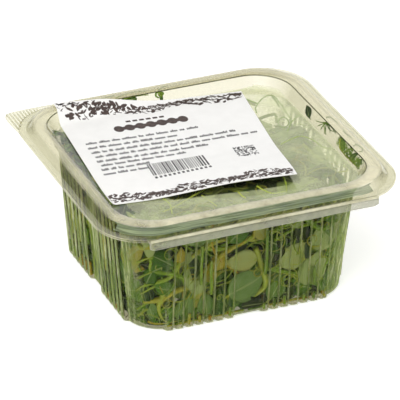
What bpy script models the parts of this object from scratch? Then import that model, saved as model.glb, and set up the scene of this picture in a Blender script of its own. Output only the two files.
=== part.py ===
"""Pea shoot microgreens in a clear hinged tray with a paper label.

Numbers are in millimetres and become metres where a mesh is made.  +Z is up, the
origin is the centre of the tray's foot, +X runs along the hinge, and the hinge is
at -Y.  The tray and its lid are thin formed sheets, built as rings around the
origin and back again.  The shoots fill the tray: each grows by one rule along
its own stem, and bends clear of the walls and of its neighbours.
"""

import math
import random
from typing import NamedTuple

import bmesh
import bpy
from mathutils import Matrix, Vector

MM = 0.001

# Every outline is a rounded rectangle, named by its half length along X.
SIDE_DIFFERENCE = 2.9
FOOT_HALF = 50.0
FOOT_RADIUS = 17.7
WALL_HALF = 54.2
WALL_RADIUS = 16.3
FLANGE_HALF = 67.0
FLANGE_RADIUS = 22.5
WALL_TOP = 52.2

# The tray's sheet
TRAY_SHEET = 0.5
FOOT_BEND = 1.2
FLUTE_TOP = 46.0
FLUTE_FADE_TOP = 50.5
FLUTE_RELIEF = 1.7
FLUTE_PITCH = 4.55
FLUTE_CREST = (0.27, 0.73)
PANEL_HALF = 5.6
FLUTES_FRONT = 7
FLUTES_END = 6
CORNER_STEPS = 8
CHANNEL_STEPS = 5
CHANNEL_HALVES = (26.0, 26.8, 31.2, 32.0)
CHANNEL_RADIUS = 9.0
CHANNEL_DEPTH = 0.9
TRAY_RIM = ((55.0, 53.6), (57.1, 56.6), (57.5, 57.0), (60.3, 57.0), (62.2, 54.3), (62.7, 53.95),
            (66.9, 53.95))

# The lid's sheet, from its sunken panel out over the bead to the lip
LID_SHEET = 0.4
LID_PANEL = (52.6, 53.2)
LID_RIM = ((53.4, 53.5), (56.4, 58.0), (57.1, 58.4), (61.0, 58.4), (61.8, 58.0), (63.6, 55.6),
           (64.1, 55.2))
LIP = (FLANGE_HALF, 55.2)

# The opening tab: the lip's corner at -X +Y, filled out nearly square and ribbed
TAB_SQUARENESS = 9.0
TAB_REACH = 1.3
TAB_RIBS = 9
TAB_RIB_PITCH = 2.1
TAB_RIB_WIDTH = 0.8
TAB_RIB_HEIGHT = 0.35
TAB_RIB_START = 1.1
TAB_RIB_END = 1.6
TAB_RIB_INSET = 0.6

# The hinge fold hangs under the -Y edge of the flange
HINGE_HALF = 51.0
HINGE_OUTER = 64.0
HINGE_SHEET = 0.6
HINGE_LOW = 50.6
HINGE_TOP = 54.4
HINGE_LEG = 2.6
HINGE_LEG_SHEET = 0.35

# The label lies in the lid's recess, and its -X +Y corner climbs over the bead.
LABEL_BACK = ((-46.4, 58.0), (37.1, 47.5))
LABEL_FRONT = ((-53.4, -27.0), (26.2, -36.6))
LABEL_SHEET = 0.3
LABEL_LOW = 53.65
LABEL_HIGH = 59.25
LABEL_FOLD = ((-46.6, 46.0), (12.0, 49.3))
LABEL_FOLD_WIDTH = 7.0
LABEL_SIDE_CLIMB = (51.3, 57.1)
LABEL_DIP = 2.0
LABEL_LIFT = 3.0
LABEL_FINE_ROWS = 7
LABEL_FINE_SHARE = 0.138
LABEL_CROWDING = 1.5
LABEL_COARSE_ROWS = 7
LABEL_COLUMNS = 10

# Room for the shoots
WALL_INSET = 3.0
FLOOR_LEVEL = 1.7
CEILING_LEVEL = 52.3
ROW_EDGES = (-15.0, 15.0)
ROW_WAVE = 3.0
LAYER_EDGE = 26.0
LAYER_WAVE = 4.5
SIDE_SLANT = 0.3
SIDE_EDGES = ((-3.0, 8.0), (6.0, -7.0), (-6.0, 5.0))
SOFT_WALL = 5.0
HALF_GAP = 0.25

# The shoots
STEM_RADII = (1.45, 0.95)
STEM_SIDES = 5
STEM_STEPS = 10
STALK_RADII = (0.85, 0.45)
STALK_SIDES = 3
STALK_STEPS = 2
STALK_LENGTH = (8.0, 13.0)
TENDRIL_STEPS = 7
TENDRIL_LENGTH = 24.0
TENDRIL_TURN = 6.6
LEAF_SHEET = 0.7
LEAF_MARGIN = 1.05
LEAF_ROWS = (0.0, 0.3, 0.68, 1.0)
LEAF_COLUMNS = (-1.0, 1.0)
LEAF_TRIES = 12
LEAF_SPACING = 9.0
LEAF_BASE_SHARE = 0.14
LEAF_SINK = 0.6
LEAFLET_LENGTH = (14.5, 19.5)
STIPULE_LENGTH = (11.0, 15.0)
TIP_LEAF_LENGTH = 11.0
LEAF_BREADTH = 0.72
GREENS = {"shoot_deep_green": (0.13, 0.25, 0.05), "shoot_pale_green": (0.2, 0.32, 0.12),
          "shoot_yellow_green": (0.3, 0.36, 0.06)}


class Shoot(NamedTuple):
    """One pea shoot: its cell in the tray, its stem's route and the way that its leaves face."""

    row: int
    layer: int
    side: int
    face: tuple
    route: tuple


FRONT, MIDDLE, BACK = range(3)
LOW, HIGH = range(2)
LEFT, RIGHT = -1, 1
SHOOTS = {
    "shoot_front_low_left": Shoot(FRONT, LOW, LEFT, (-0.15, -1, 0.25), (
        (-42, -36, 19), (-43, -42, 6), (-31, -44, 4), (-18, -42, 8), (-10, -38, 17))),
    "shoot_front_low_right": Shoot(FRONT, LOW, RIGHT, (0.1, -1, 0.25), (
        (9, -45, 6), (17, -45, 11), (15, -43, 20), (26, -38, 17), (38, -36, 11))),
    "shoot_front_high_left": Shoot(FRONT, HIGH, LEFT, (-0.1, -1, 0.35), (
        (-46, -34, 32), (-41, -42, 43), (-27, -40, 40), (-12, -36, 36), (0, -38, 44))),
    "shoot_front_high_right": Shoot(FRONT, HIGH, RIGHT, (0.1, -1, 0.45), (
        (46, -30, 46), (44, -42, 36), (36, -38, 33), (28, -34, 38), (21, -38, 44))),
    "shoot_middle_low_left": Shoot(MIDDLE, LOW, LEFT, (-1, -0.2, 0.3), (
        (-2, -6, 9), (-15, 6, 13), (-29, -4, 9), (-40, -9, 13), (-45, 2, 20))),
    "shoot_middle_low_right": Shoot(MIDDLE, LOW, RIGHT, (0.8, -0.2, 0.5), (
        (8, 8, 9), (20, -6, 12), (32, 6, 9), (42, 4, 14), (45, -8, 19))),
    "shoot_middle_high_left": Shoot(MIDDLE, HIGH, LEFT, (-0.3, -0.2, 1), (
        (-47, 10, 34), (-42, -4, 40), (-33, 6, 44), (-25, -5, 44), (-19, 4, 42))),
    "shoot_middle_high_right": Shoot(MIDDLE, HIGH, RIGHT, (0.2, -0.1, 1), (
        (47, -8, 36), (38, 6, 43), (24, -5, 45), (10, 4, 43), (-2, -4, 45))),
    "shoot_back_low_left": Shoot(BACK, LOW, LEFT, (-0.6, 0.8, 0.3), (
        (-8, 38, 8), (-20, 30, 12), (-32, 40, 10), (-43, 32, 14), (-44, 22, 20))),
    "shoot_back_low_right": Shoot(BACK, LOW, RIGHT, (0.5, 0.9, 0.3), (
        (0, 28, 8), (12, 38, 11), (26, 30, 9), (38, 38, 13), (44, 24, 19))),
    "shoot_back_high_left": Shoot(BACK, HIGH, LEFT, (-0.2, 0.4, 1), (
        (-46, 20, 36), (-42, 34, 43), (-28, 40, 44), (-14, 32, 42), (0, 40, 46))),
    "shoot_back_high_right": Shoot(BACK, HIGH, RIGHT, (0.5, 0.3, 1), (
        (46, 18, 36), (43, 34, 42), (33, 40, 44), (25, 31, 44), (18, 38, 43))),
}


def remove_all():
    """Empties the scene."""
    for item in list(bpy.data.objects):
        bpy.data.objects.remove(item)


def make_material(name, colour, roughness, alpha=1.0):
    """Makes a Principled BSDF material with an alpha for what is clear."""
    material = bpy.data.materials.new(name)
    material.use_nodes = True
    shader = material.node_tree.nodes["Principled BSDF"]
    shader.inputs["Base Color"].default_value = (*colour, 1.0)
    shader.inputs["Roughness"].default_value = roughness
    shader.inputs["Metallic"].default_value = 0.0
    shader.inputs["Alpha"].default_value = alpha
    return material


def add_object(name, points, faces, material=None, collection=None):
    """Adds a triangulated mesh object from points in millimetres."""
    shell = bmesh.new()
    corners = [shell.verts.new(Vector(point) * MM) for point in points]
    for face in faces:
        shell.faces.new([corners[index] for index in face])
    bmesh.ops.recalc_face_normals(shell, faces=shell.faces)
    bmesh.ops.triangulate(shell, faces=shell.faces)
    mesh = bpy.data.meshes.new(name)
    shell.to_mesh(mesh)
    shell.free()
    item = bpy.data.objects.new(name, mesh)
    (collection or bpy.context.scene.collection).objects.link(item)
    if material:
        mesh.materials.append(material)
    return item


def apply_modifiers(item):
    """Puts an object's evaluated mesh in place of its modifiers."""
    graph = bpy.context.evaluated_depsgraph_get()
    mesh = bpy.data.meshes.new_from_object(item.evaluated_get(graph))
    item.modifiers.clear()
    item.data = mesh


def keep_largest_body(item):
    """Keeps an object's largest body, and drops loose scraps and sealed hollows."""
    shell = bmesh.new()
    shell.from_mesh(item.data)
    bmesh.ops.triangulate(shell, faces=shell.faces)
    bodies = []
    seen = set()
    for start in shell.faces:
        if start in seen:
            continue
        body = {start}
        front = [start]
        while front:
            for edge in front.pop().edges:
                for face in edge.link_faces:
                    if face not in body:
                        body.add(face)
                        front.append(face)
        seen |= body
        bodies.append(body)
    largest = max(bodies, key=len)
    bmesh.ops.delete(shell, geom=[face for face in shell.faces if face not in largest], context="FACES")
    shell.to_mesh(item.data)
    shell.free()


def fuse_onto(item, pieces, solver="EXACT"):
    """Fuses closed meshes, given as points and faces, onto an object."""
    group = bpy.data.collections.new(item.name + "_pieces")
    for index, piece in enumerate(pieces):
        add_object(f"{item.name}_piece_{index}", *piece, collection=group)
    union = item.modifiers.new("Union", "BOOLEAN")
    union.operation = "UNION"
    union.operand_type = "COLLECTION"
    union.collection = group
    union.solver = solver
    apply_modifiers(item)
    for piece in list(group.objects):
        bpy.data.objects.remove(piece)
    bpy.data.collections.remove(group)
    keep_largest_body(item)


def radius_of(half):
    """Corner radius of the outline with this half length."""
    share = (half - WALL_HALF) / (FLANGE_HALF - WALL_HALF)
    return WALL_RADIUS + (FLANGE_RADIUS - WALL_RADIUS) * max(share, 0.0)


def wall_at(height):
    """Half length and corner radius of the wall's crests at a height."""
    share = height / WALL_TOP
    return FOOT_HALF + (WALL_HALF - FOOT_HALF) * share, FOOT_RADIUS + (WALL_RADIUS - FOOT_RADIUS) * share


def side_places(flutes, fluted):
    """Places along one side, each with True where it is on a flute's crest."""
    places = []
    for index in range(flutes + 1):
        places.append((PANEL_HALF + index * FLUTE_PITCH, False))
        if fluted and index < flutes:
            places += [(PANEL_HALF + (index + share) * FLUTE_PITCH, True) for share in FLUTE_CREST]
    return [(-place, crest) for place, crest in reversed(places)] + places


def side_depth(place, half_along, half_across, radius):
    """How far out a rounded rectangle's side lies at a place along it."""
    past = abs(place) - (half_along - radius)
    if past <= 0:
        return half_across
    return half_across - radius + math.sqrt(max(radius * radius - past * past, 0.0))


def ring(half, radius, height, flutes=(0, 0), relief=0.0, steps=CORNER_STEPS, square_corner=0.0):
    """Points of a rounded rectangle, counter-clockwise from above.

    Args:
        half: Half length along X; the half width is SIDE_DIFFERENCE less.
        radius: Corner radius.
        height: Z of the ring.
        flutes: Flutes on each half of the sides along X and of those along Y.
        relief: How far the flutes' crests stand out of the valleys between them.
        steps: Points around each corner.
        square_corner: Squareness of the corner at -X +Y, where 0 keeps it round.
    """
    halves = (half, half - SIDE_DIFFERENCE)
    points = []
    for side in range(4):
        along, across = halves[side % 2], halves[(side + 1) % 2]
        turn = Matrix.Rotation(side * math.pi / 2, 2)
        run = []
        for place, crest in side_places(flutes[side % 2], relief > 0):
            inset = 0.0 if crest else relief
            depth = side_depth(place, along - inset, across - inset, radius - inset)
            run.append(Vector((place, -depth)))
        centre = Vector((along - radius, radius - across))
        inner = radius - relief
        last = run[-1] - centre
        first = max(math.atan2(last.y, last.x), -math.pi / 2)
        following = side_places(flutes[(side + 1) % 2], False)[0][0]
        past = abs(following) - (across - radius)
        final = -math.asin(max(past, 0.0) / inner) if past > 0 else 0.0
        for step in range(steps):
            angle = first + (final - first) * (step + 0.5) / steps
            reach = inner
            if square_corner and side == 2:
                spread = abs(math.cos(angle)) ** square_corner + abs(math.sin(angle)) ** square_corner
                reach = inner / spread ** (1 / square_corner)
            run.append(centre + reach * Vector((math.cos(angle), math.sin(angle))))
        points += [(*(turn @ point), height) for point in run]
    return points


def add_band(points, faces, lower, upper):
    """Joins two rings: point to point where they match, and round by angle where they don't."""
    count = len(lower)
    if count == len(upper):
        start = len(points)
        points += list(lower) + list(upper)
        for index in range(count):
            following = (index + 1) % count
            faces.append((start + index, start + following, start + count + following, start + count + index))
        return

    def by_angle(ring_points):
        return sorted((math.atan2(point[1], point[0]), index) for index, point in enumerate(ring_points))

    first, second = by_angle(lower), by_angle(upper)
    start_first, start_second = len(points), len(points) + len(lower)
    points += list(lower) + list(upper)
    i = j = 0
    while i < len(first) or j < len(second):
        a = start_first + first[i % len(first)][1]
        b = start_second + second[j % len(second)][1]
        next_a = first[(i + 1) % len(first)][0] + (2 * math.pi if i + 1 >= len(first) else 0)
        next_b = second[(j + 1) % len(second)][0] + (2 * math.pi if j + 1 >= len(second) else 0)
        if j >= len(second) or (i < len(first) and next_a <= next_b):
            faces.append((a, start_first + first[(i + 1) % len(first)][1], b))
            i += 1
        else:
            faces.append((a, start_second + second[(j + 1) % len(second)][1], b))
            j += 1


def offset_profile(profile, thickness):
    """Moves an outline of (half, height) points sideways by a thickness, to the left of its way."""
    places = [Vector(place[:2]) for place in profile]
    ways = [(after - before).normalized() for before, after in zip(places, places[1:])]
    ways = [Vector((1.0, 0.0))] + ways + [ways[-1]]
    moved = []
    for place, before, after in zip(places, ways, ways[1:]):
        first, second = Vector((-before.y, before.x)), Vector((-after.y, after.x))
        moved.append(place + (first + second) * thickness / (1 + first.dot(second)))
    return moved


def make_sheet(name, profile, thickness, material, make_ring):
    """Makes a formed sheet: rings out along its profile, and back along the profile's offset.

    Args:
        name: The object's name.
        profile: (half, height, radius, kind) of each ring from the middle outwards.
        thickness: The sheet's thickness, to the left of the profile's way.
        material: Its material.
        make_ring: Gives a ring's points from a half, a radius, a height and the kind.
    """
    moved = offset_profile(profile, thickness)
    rings = [make_ring(half, radius, height, kind) for half, height, radius, kind in profile]
    back = [make_ring(place.x, radius + place.x - half, place.y, kind)
            for (half, _, radius, kind), place in zip(profile, moved)]
    loop = rings + back[::-1]
    points, faces = [], []
    for first, second in zip(loop, loop[1:]):
        add_band(points, faces, first, second)
    faces.append(tuple(range(len(loop[0]))))
    faces.append(tuple(range(len(points) - len(loop[-1]), len(points))))
    item = add_object(name, points, faces, material)
    weld(item)
    return item


def weld(item):
    """Joins the points that neighbouring bands share, and turns the faces outwards."""
    shell = bmesh.new()
    shell.from_mesh(item.data)
    bmesh.ops.remove_doubles(shell, verts=shell.verts, dist=0.001 * MM)
    bmesh.ops.recalc_face_normals(shell, faces=shell.faces)
    shell.to_mesh(item.data)
    shell.free()


def bar(low, high):
    """Points and faces of a box between two opposite corners."""
    points = [(x, y, z) for x in (low[0], high[0]) for y in (low[1], high[1]) for z in (low[2], high[2])]
    faces = [(0, 1, 3, 2), (4, 6, 7, 5), (0, 4, 5, 1), (2, 3, 7, 6), (0, 2, 6, 4), (1, 5, 7, 3)]
    return points, faces


def hinge_fold():
    """The L-shaped strip that hangs under the flange's -Y edge."""
    low, top, outer = HINGE_LOW, HINGE_TOP, -HINGE_OUTER
    leg = top - HINGE_LEG_SHEET
    section = [(outer, low), (outer + HINGE_SHEET, low), (outer + HINGE_SHEET, leg),
               (outer + HINGE_LEG, leg), (outer + HINGE_LEG, top), (outer, top)]
    points = [(side * HINGE_HALF, y, z) for side in (-1, 1) for y, z in section]
    count = len(section)
    faces = [tuple(range(count)), tuple(range(2 * count - 1, count - 1, -1))]
    faces += [(i, (i + 1) % count, (i + 1) % count + count, i + count) for i in range(count)]
    return points, faces


def tray_ring(half, radius, height, kind):
    """A ring of the tray's sheet: fluted, faded above the flutes, plain, or the floor channel's."""
    if kind == "fluted":
        return ring(half, radius, height, (FLUTES_FRONT, FLUTES_END), FLUTE_RELIEF)
    if kind == "faded":
        return ring(half, radius, height, (FLUTES_FRONT, FLUTES_END))
    return ring(half, radius, height, steps=CHANNEL_STEPS if kind == "channel" else CORNER_STEPS)


def make_tray(material):
    """The tray: a drafted tub with fluted walls, a rim bead, a flange and the hinge's fold."""
    heights = (0.0, CHANNEL_DEPTH, CHANNEL_DEPTH, 0.0)
    profile = [(half, z, CHANNEL_RADIUS, "channel") for half, z in zip(CHANNEL_HALVES, heights)]
    foot, foot_radius = wall_at(0.0)
    profile.append((foot - FOOT_BEND, 0.0, foot_radius - FOOT_BEND, "fluted"))
    levels = ((FOOT_BEND, "fluted"), (FLUTE_TOP, "fluted"), (FLUTE_FADE_TOP, "faded"), (WALL_TOP, "plain"))
    for height, kind in levels:
        half, radius = wall_at(height)
        profile.append((half, height, radius, kind))
    profile += [(half, height, radius_of(half), "plain") for half, height in TRAY_RIM]
    tray = make_sheet("tray", profile, TRAY_SHEET, material, tray_ring)
    fuse_onto(tray, [hinge_fold()])
    return tray


def tab_ribs():
    """Thin ribs along Y on the tab, each from inside the lip's round corner to near the edge."""
    ribs = []
    half_width = FLANGE_HALF - SIDE_DIFFERENCE
    centre = (FLANGE_RADIUS - FLANGE_HALF, half_width - FLANGE_RADIUS)
    for index in range(TAB_RIBS):
        x = -FLANGE_HALF + TAB_RIB_START + index * TAB_RIB_PITCH
        reach = FLANGE_RADIUS - TAB_RIB_INSET
        start = centre[1] + math.sqrt(max(reach ** 2 - (x - centre[0]) ** 2, 0.0))
        low = (x, start, LIP[1] - LID_SHEET / 2)
        high = (x + TAB_RIB_WIDTH, half_width - TAB_RIB_END, LIP[1] + TAB_RIB_HEIGHT)
        ribs.append(bar(low, high))
    return ribs


def lid_ring(half, radius, height, kind):
    """A ring of the lid's sheet; the lip's has the tab at its -X +Y corner."""
    if kind == "lip":
        lip = ring(half, radius, height, square_corner=TAB_SQUARENESS)
        return [(x - tab_push(x, y), y, z) for x, y, z in lip]
    return ring(half, radius, height)


def make_lid(material):
    """The lid: a sunken panel, a bead that nests over the tray's rim, and a lip with a ribbed tab."""
    profile = [(half, height, radius_of(half), "plain") for half, height in (LID_PANEL, *LID_RIM)]
    profile.append((*LIP, radius_of(LIP[0]), "lip"))
    lid = make_sheet("lid", profile, -LID_SHEET, material, lid_ring)
    fuse_onto(lid, tab_ribs())
    return lid


def tab_push(x, y):
    """How far the tab's near edge stands out past the lip's -X edge."""
    half_width = FLANGE_HALF - SIDE_DIFFERENCE
    up = min(max((y - (half_width - FLANGE_RADIUS)) / FLANGE_RADIUS, 0.0), 1.0)
    out = min(max((-x - FLANGE_HALF + FLANGE_RADIUS) / FLANGE_RADIUS, 0.0), 1.0)
    return TAB_REACH * up * out * out


def outline_distance(x, y, half, half_width, radius):
    """Signed distance from a rounded rectangle to a point, and the way outwards there."""
    qx, qy = abs(x) - (half - radius), abs(y) - (half_width - radius)
    if qx > 0 and qy > 0:
        length = math.hypot(qx, qy)
        return length - radius, math.copysign(qx / length, x), math.copysign(qy / length, y)
    if qx > qy:
        return qx - radius, math.copysign(1.0, x), 0.0
    return qy - radius, 0.0, math.copysign(1.0, y)


def smooth_step(value):
    """An even rise from 0 to 1."""
    value = min(max(value, 0.0), 1.0)
    return value * value * (3 - 2 * value)


def label_point(across, down):
    """A point on the label's lower face, from its place across and down the paper."""
    back, front = (Vector(left).lerp(Vector(right), across) for left, right in (LABEL_BACK, LABEL_FRONT))
    place = back.lerp(front, down)
    place.y -= LABEL_DIP * math.sin(math.pi * min(across / 0.75, 1.0)) * (1 - down) ** 4
    start, end = (Vector(place) for place in LABEL_FOLD)
    way = (end - start).normalized()
    past_fold = (place - start).dot(Vector((-way.y, way.x))) / LABEL_FOLD_WIDTH
    past_side = (-place.x - LABEL_SIDE_CLIMB[0]) / (LABEL_SIDE_CLIMB[1] - LABEL_SIDE_CLIMB[0])
    climb = 1 - (1 - smooth_step(past_fold)) * (1 - smooth_step(past_side))
    height = LABEL_LOW + (LABEL_HIGH - LABEL_LOW) * climb
    lift = LABEL_LIFT * smooth_step((down - 0.55) / 0.45) * smooth_step((across - 0.15) / 0.6)
    return Vector((place.x, place.y, height + lift * (1 - climb)))


def make_label(material):
    """The paper label, draped over the lid's recess."""
    fine = [LABEL_FINE_SHARE * i / (LABEL_FINE_ROWS - 1) for i in range(LABEL_FINE_ROWS)]
    coarse = [LABEL_FINE_SHARE + (1 - LABEL_FINE_SHARE) * (i + 1) / LABEL_COARSE_ROWS
              for i in range(LABEL_COARSE_ROWS)]
    columns = [(i / (LABEL_COLUMNS - 1)) ** LABEL_CROWDING for i in range(LABEL_COLUMNS)]
    return add_object("label", *blade_mesh(label_point, columns, fine + coarse, LABEL_SHEET), material)


def squeeze(value, low, high):
    """Bends a coordinate into a range, and changes it only near the range's ends."""
    soft = min(SOFT_WALL, (high - low) / 2)
    if value < low + soft:
        return low + soft - soft * math.tanh((low + soft - value) / soft)
    if value > high - soft:
        return high - soft + soft * math.tanh((value - high + soft) / soft)
    return value


def layer_range(shoot, x, y):
    """Lowest and highest Z of a shoot's cell over a point of the floor."""
    edge = LAYER_EDGE + LAYER_WAVE * math.sin(x / 14 + 1.7 * shoot.row) + 2 * math.sin(y / 9)
    return (FLOOR_LEVEL, edge) if shoot.layer == LOW else (edge, CEILING_LEVEL)


def confine(point, shoot, margin):
    """Bends a point clear of the walls, the floor, the lid and the neighbouring shoots."""
    x, y, z = point
    room = margin + HALF_GAP
    low, high = layer_range(shoot, x, y)
    z = squeeze(z, low + room, high - room)
    half, radius = wall_at(z)
    half, radius = half - WALL_INSET, radius - WALL_INSET
    distance, out_x, out_y = outline_distance(x, y, half, half - SIDE_DIFFERENCE, radius)
    if distance > -SOFT_WALL - room:
        past = distance + SOFT_WALL + room
        shift = past - SOFT_WALL * math.tanh(past / SOFT_WALL)
        x, y = x - out_x * shift, y - out_y * shift
    slant = SIDE_SLANT * (z - LAYER_EDGE) * (1 if (shoot.row + shoot.layer) % 2 else -1)
    side_edge = SIDE_EDGES[shoot.row][shoot.layer] + slant
    far = FLANGE_HALF * 2
    if shoot.side == LEFT:
        x = squeeze(x, -far, side_edge - room)
    else:
        x = squeeze(x, side_edge + room, far)
    edges = [edge + ROW_WAVE * math.sin(x / 15 + 2 * index) for index, edge in enumerate(ROW_EDGES)]
    behind = -far if shoot.row == FRONT else edges[shoot.row - 1] + room
    ahead = far if shoot.row == BACK else edges[shoot.row] - room
    y = squeeze(y, behind, ahead)
    low, high = layer_range(shoot, x, y)
    return Vector((x, y, squeeze(z, low + room, high - room)))


def curve_point(knots, share):
    """A point on a smooth curve through the knots, by share of its way."""
    span = share * (len(knots) - 1)
    index = min(int(span), len(knots) - 2)
    t = span - index
    before = knots[index - 1] if index else 2 * knots[0] - knots[1]
    after = knots[index + 2] if index + 2 < len(knots) else 2 * knots[-1] - knots[-2]
    start, end = knots[index], knots[index + 1]
    return 0.5 * (2 * start + (end - before) * t + (2 * before - 5 * start + 4 * end - after) * t * t
                  + (3 * start - before - 3 * end + after) * t ** 3)


def tube_mesh(centres, radii, sides):
    """A closed tube around a line of points, its section carried along without twist."""
    points, faces = [], []
    count = len(centres)
    tangents = [(centres[min(i + 1, count - 1)] - centres[max(i - 1, 0)]).normalized() for i in range(count)]
    normal = tangents[0].orthogonal().normalized()
    for index, centre in enumerate(centres):
        tangent = tangents[index]
        normal = (normal - tangent * normal.dot(tangent)).normalized()
        other = tangent.cross(normal)
        share = index / (count - 1)
        radius = radii[0] + (radii[1] - radii[0]) * share
        for side in range(sides):
            angle = 2 * math.pi * side / sides
            points.append(centre + radius * (normal * math.cos(angle) + other * math.sin(angle)))
    for index in range(count - 1):
        for side in range(sides):
            a, b = index * sides + side, index * sides + (side + 1) % sides
            faces.append((a, b, b + sides, a + sides))
    faces.append(tuple(range(sides)))
    faces.append(tuple(range((count - 1) * sides, count * sides)))
    return points, faces


def blade_mesh(surface, rows, columns, thickness):
    """A closed thin plate on a surface, split into triangles alike on both faces.

    Args:
        surface: Gives a point for two shares from 0 to 1, or -1 to 1 across a leaf.
        rows: Shares along the first way.
        columns: Shares along the second way.
        thickness: The plate's thickness.
    """
    step = 0.02
    grid = []
    for u in rows:
        inner_u = min(max(u, step), 1 - step)
        line = []
        for v in columns:
            inner_v = min(max(v, columns[0] + step), columns[-1] - step)
            along = surface(inner_u + step, inner_v) - surface(inner_u - step, inner_v)
            across = surface(inner_u, inner_v + step) - surface(inner_u, inner_v - step)
            normal = along.cross(across).normalized()
            point = surface(u, v)
            line.append((point + normal * thickness / 2, point - normal * thickness / 2))
        grid.append(line)
    points, index_of = [], {}
    for i, line in enumerate(grid):
        pointed = surface(rows[i], columns[0]) == surface(rows[i], columns[-1])
        middle = len(columns) // 2
        for j in range(len(columns)):
            source = middle if pointed else j
            for face in range(2):
                if not pointed or j == 0:
                    index_of[i, j, face] = len(points)
                    points.append(line[source][face])
                else:
                    index_of[i, j, face] = index_of[i, 0, face]
    faces = []
    for i in range(len(rows) - 1):
        for j in range(len(columns) - 1):
            for face in range(2):
                a, b = index_of[i, j, face], index_of[i + 1, j, face]
                c, d = index_of[i + 1, j + 1, face], index_of[i, j + 1, face]
                faces += [triangle for triangle in ((a, b, c), (a, c, d)) if len(set(triangle)) == 3]
    rim = [(i, 0) for i in range(len(rows))] + [(len(rows) - 1, j) for j in range(1, len(columns))]
    rim += [(i, len(columns) - 1) for i in range(len(rows) - 2, -1, -1)]
    rim += [(0, j) for j in range(len(columns) - 2, 0, -1)]
    for place, following in zip(rim, rim[1:] + rim[:1]):
        a, b = index_of[(*place, 0)], index_of[(*following, 0)]
        if a != b:
            c, d = index_of[(*following, 1)], index_of[(*place, 1)]
            faces += [(a, b, c), (a, c, d)]
    return points, faces


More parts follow.
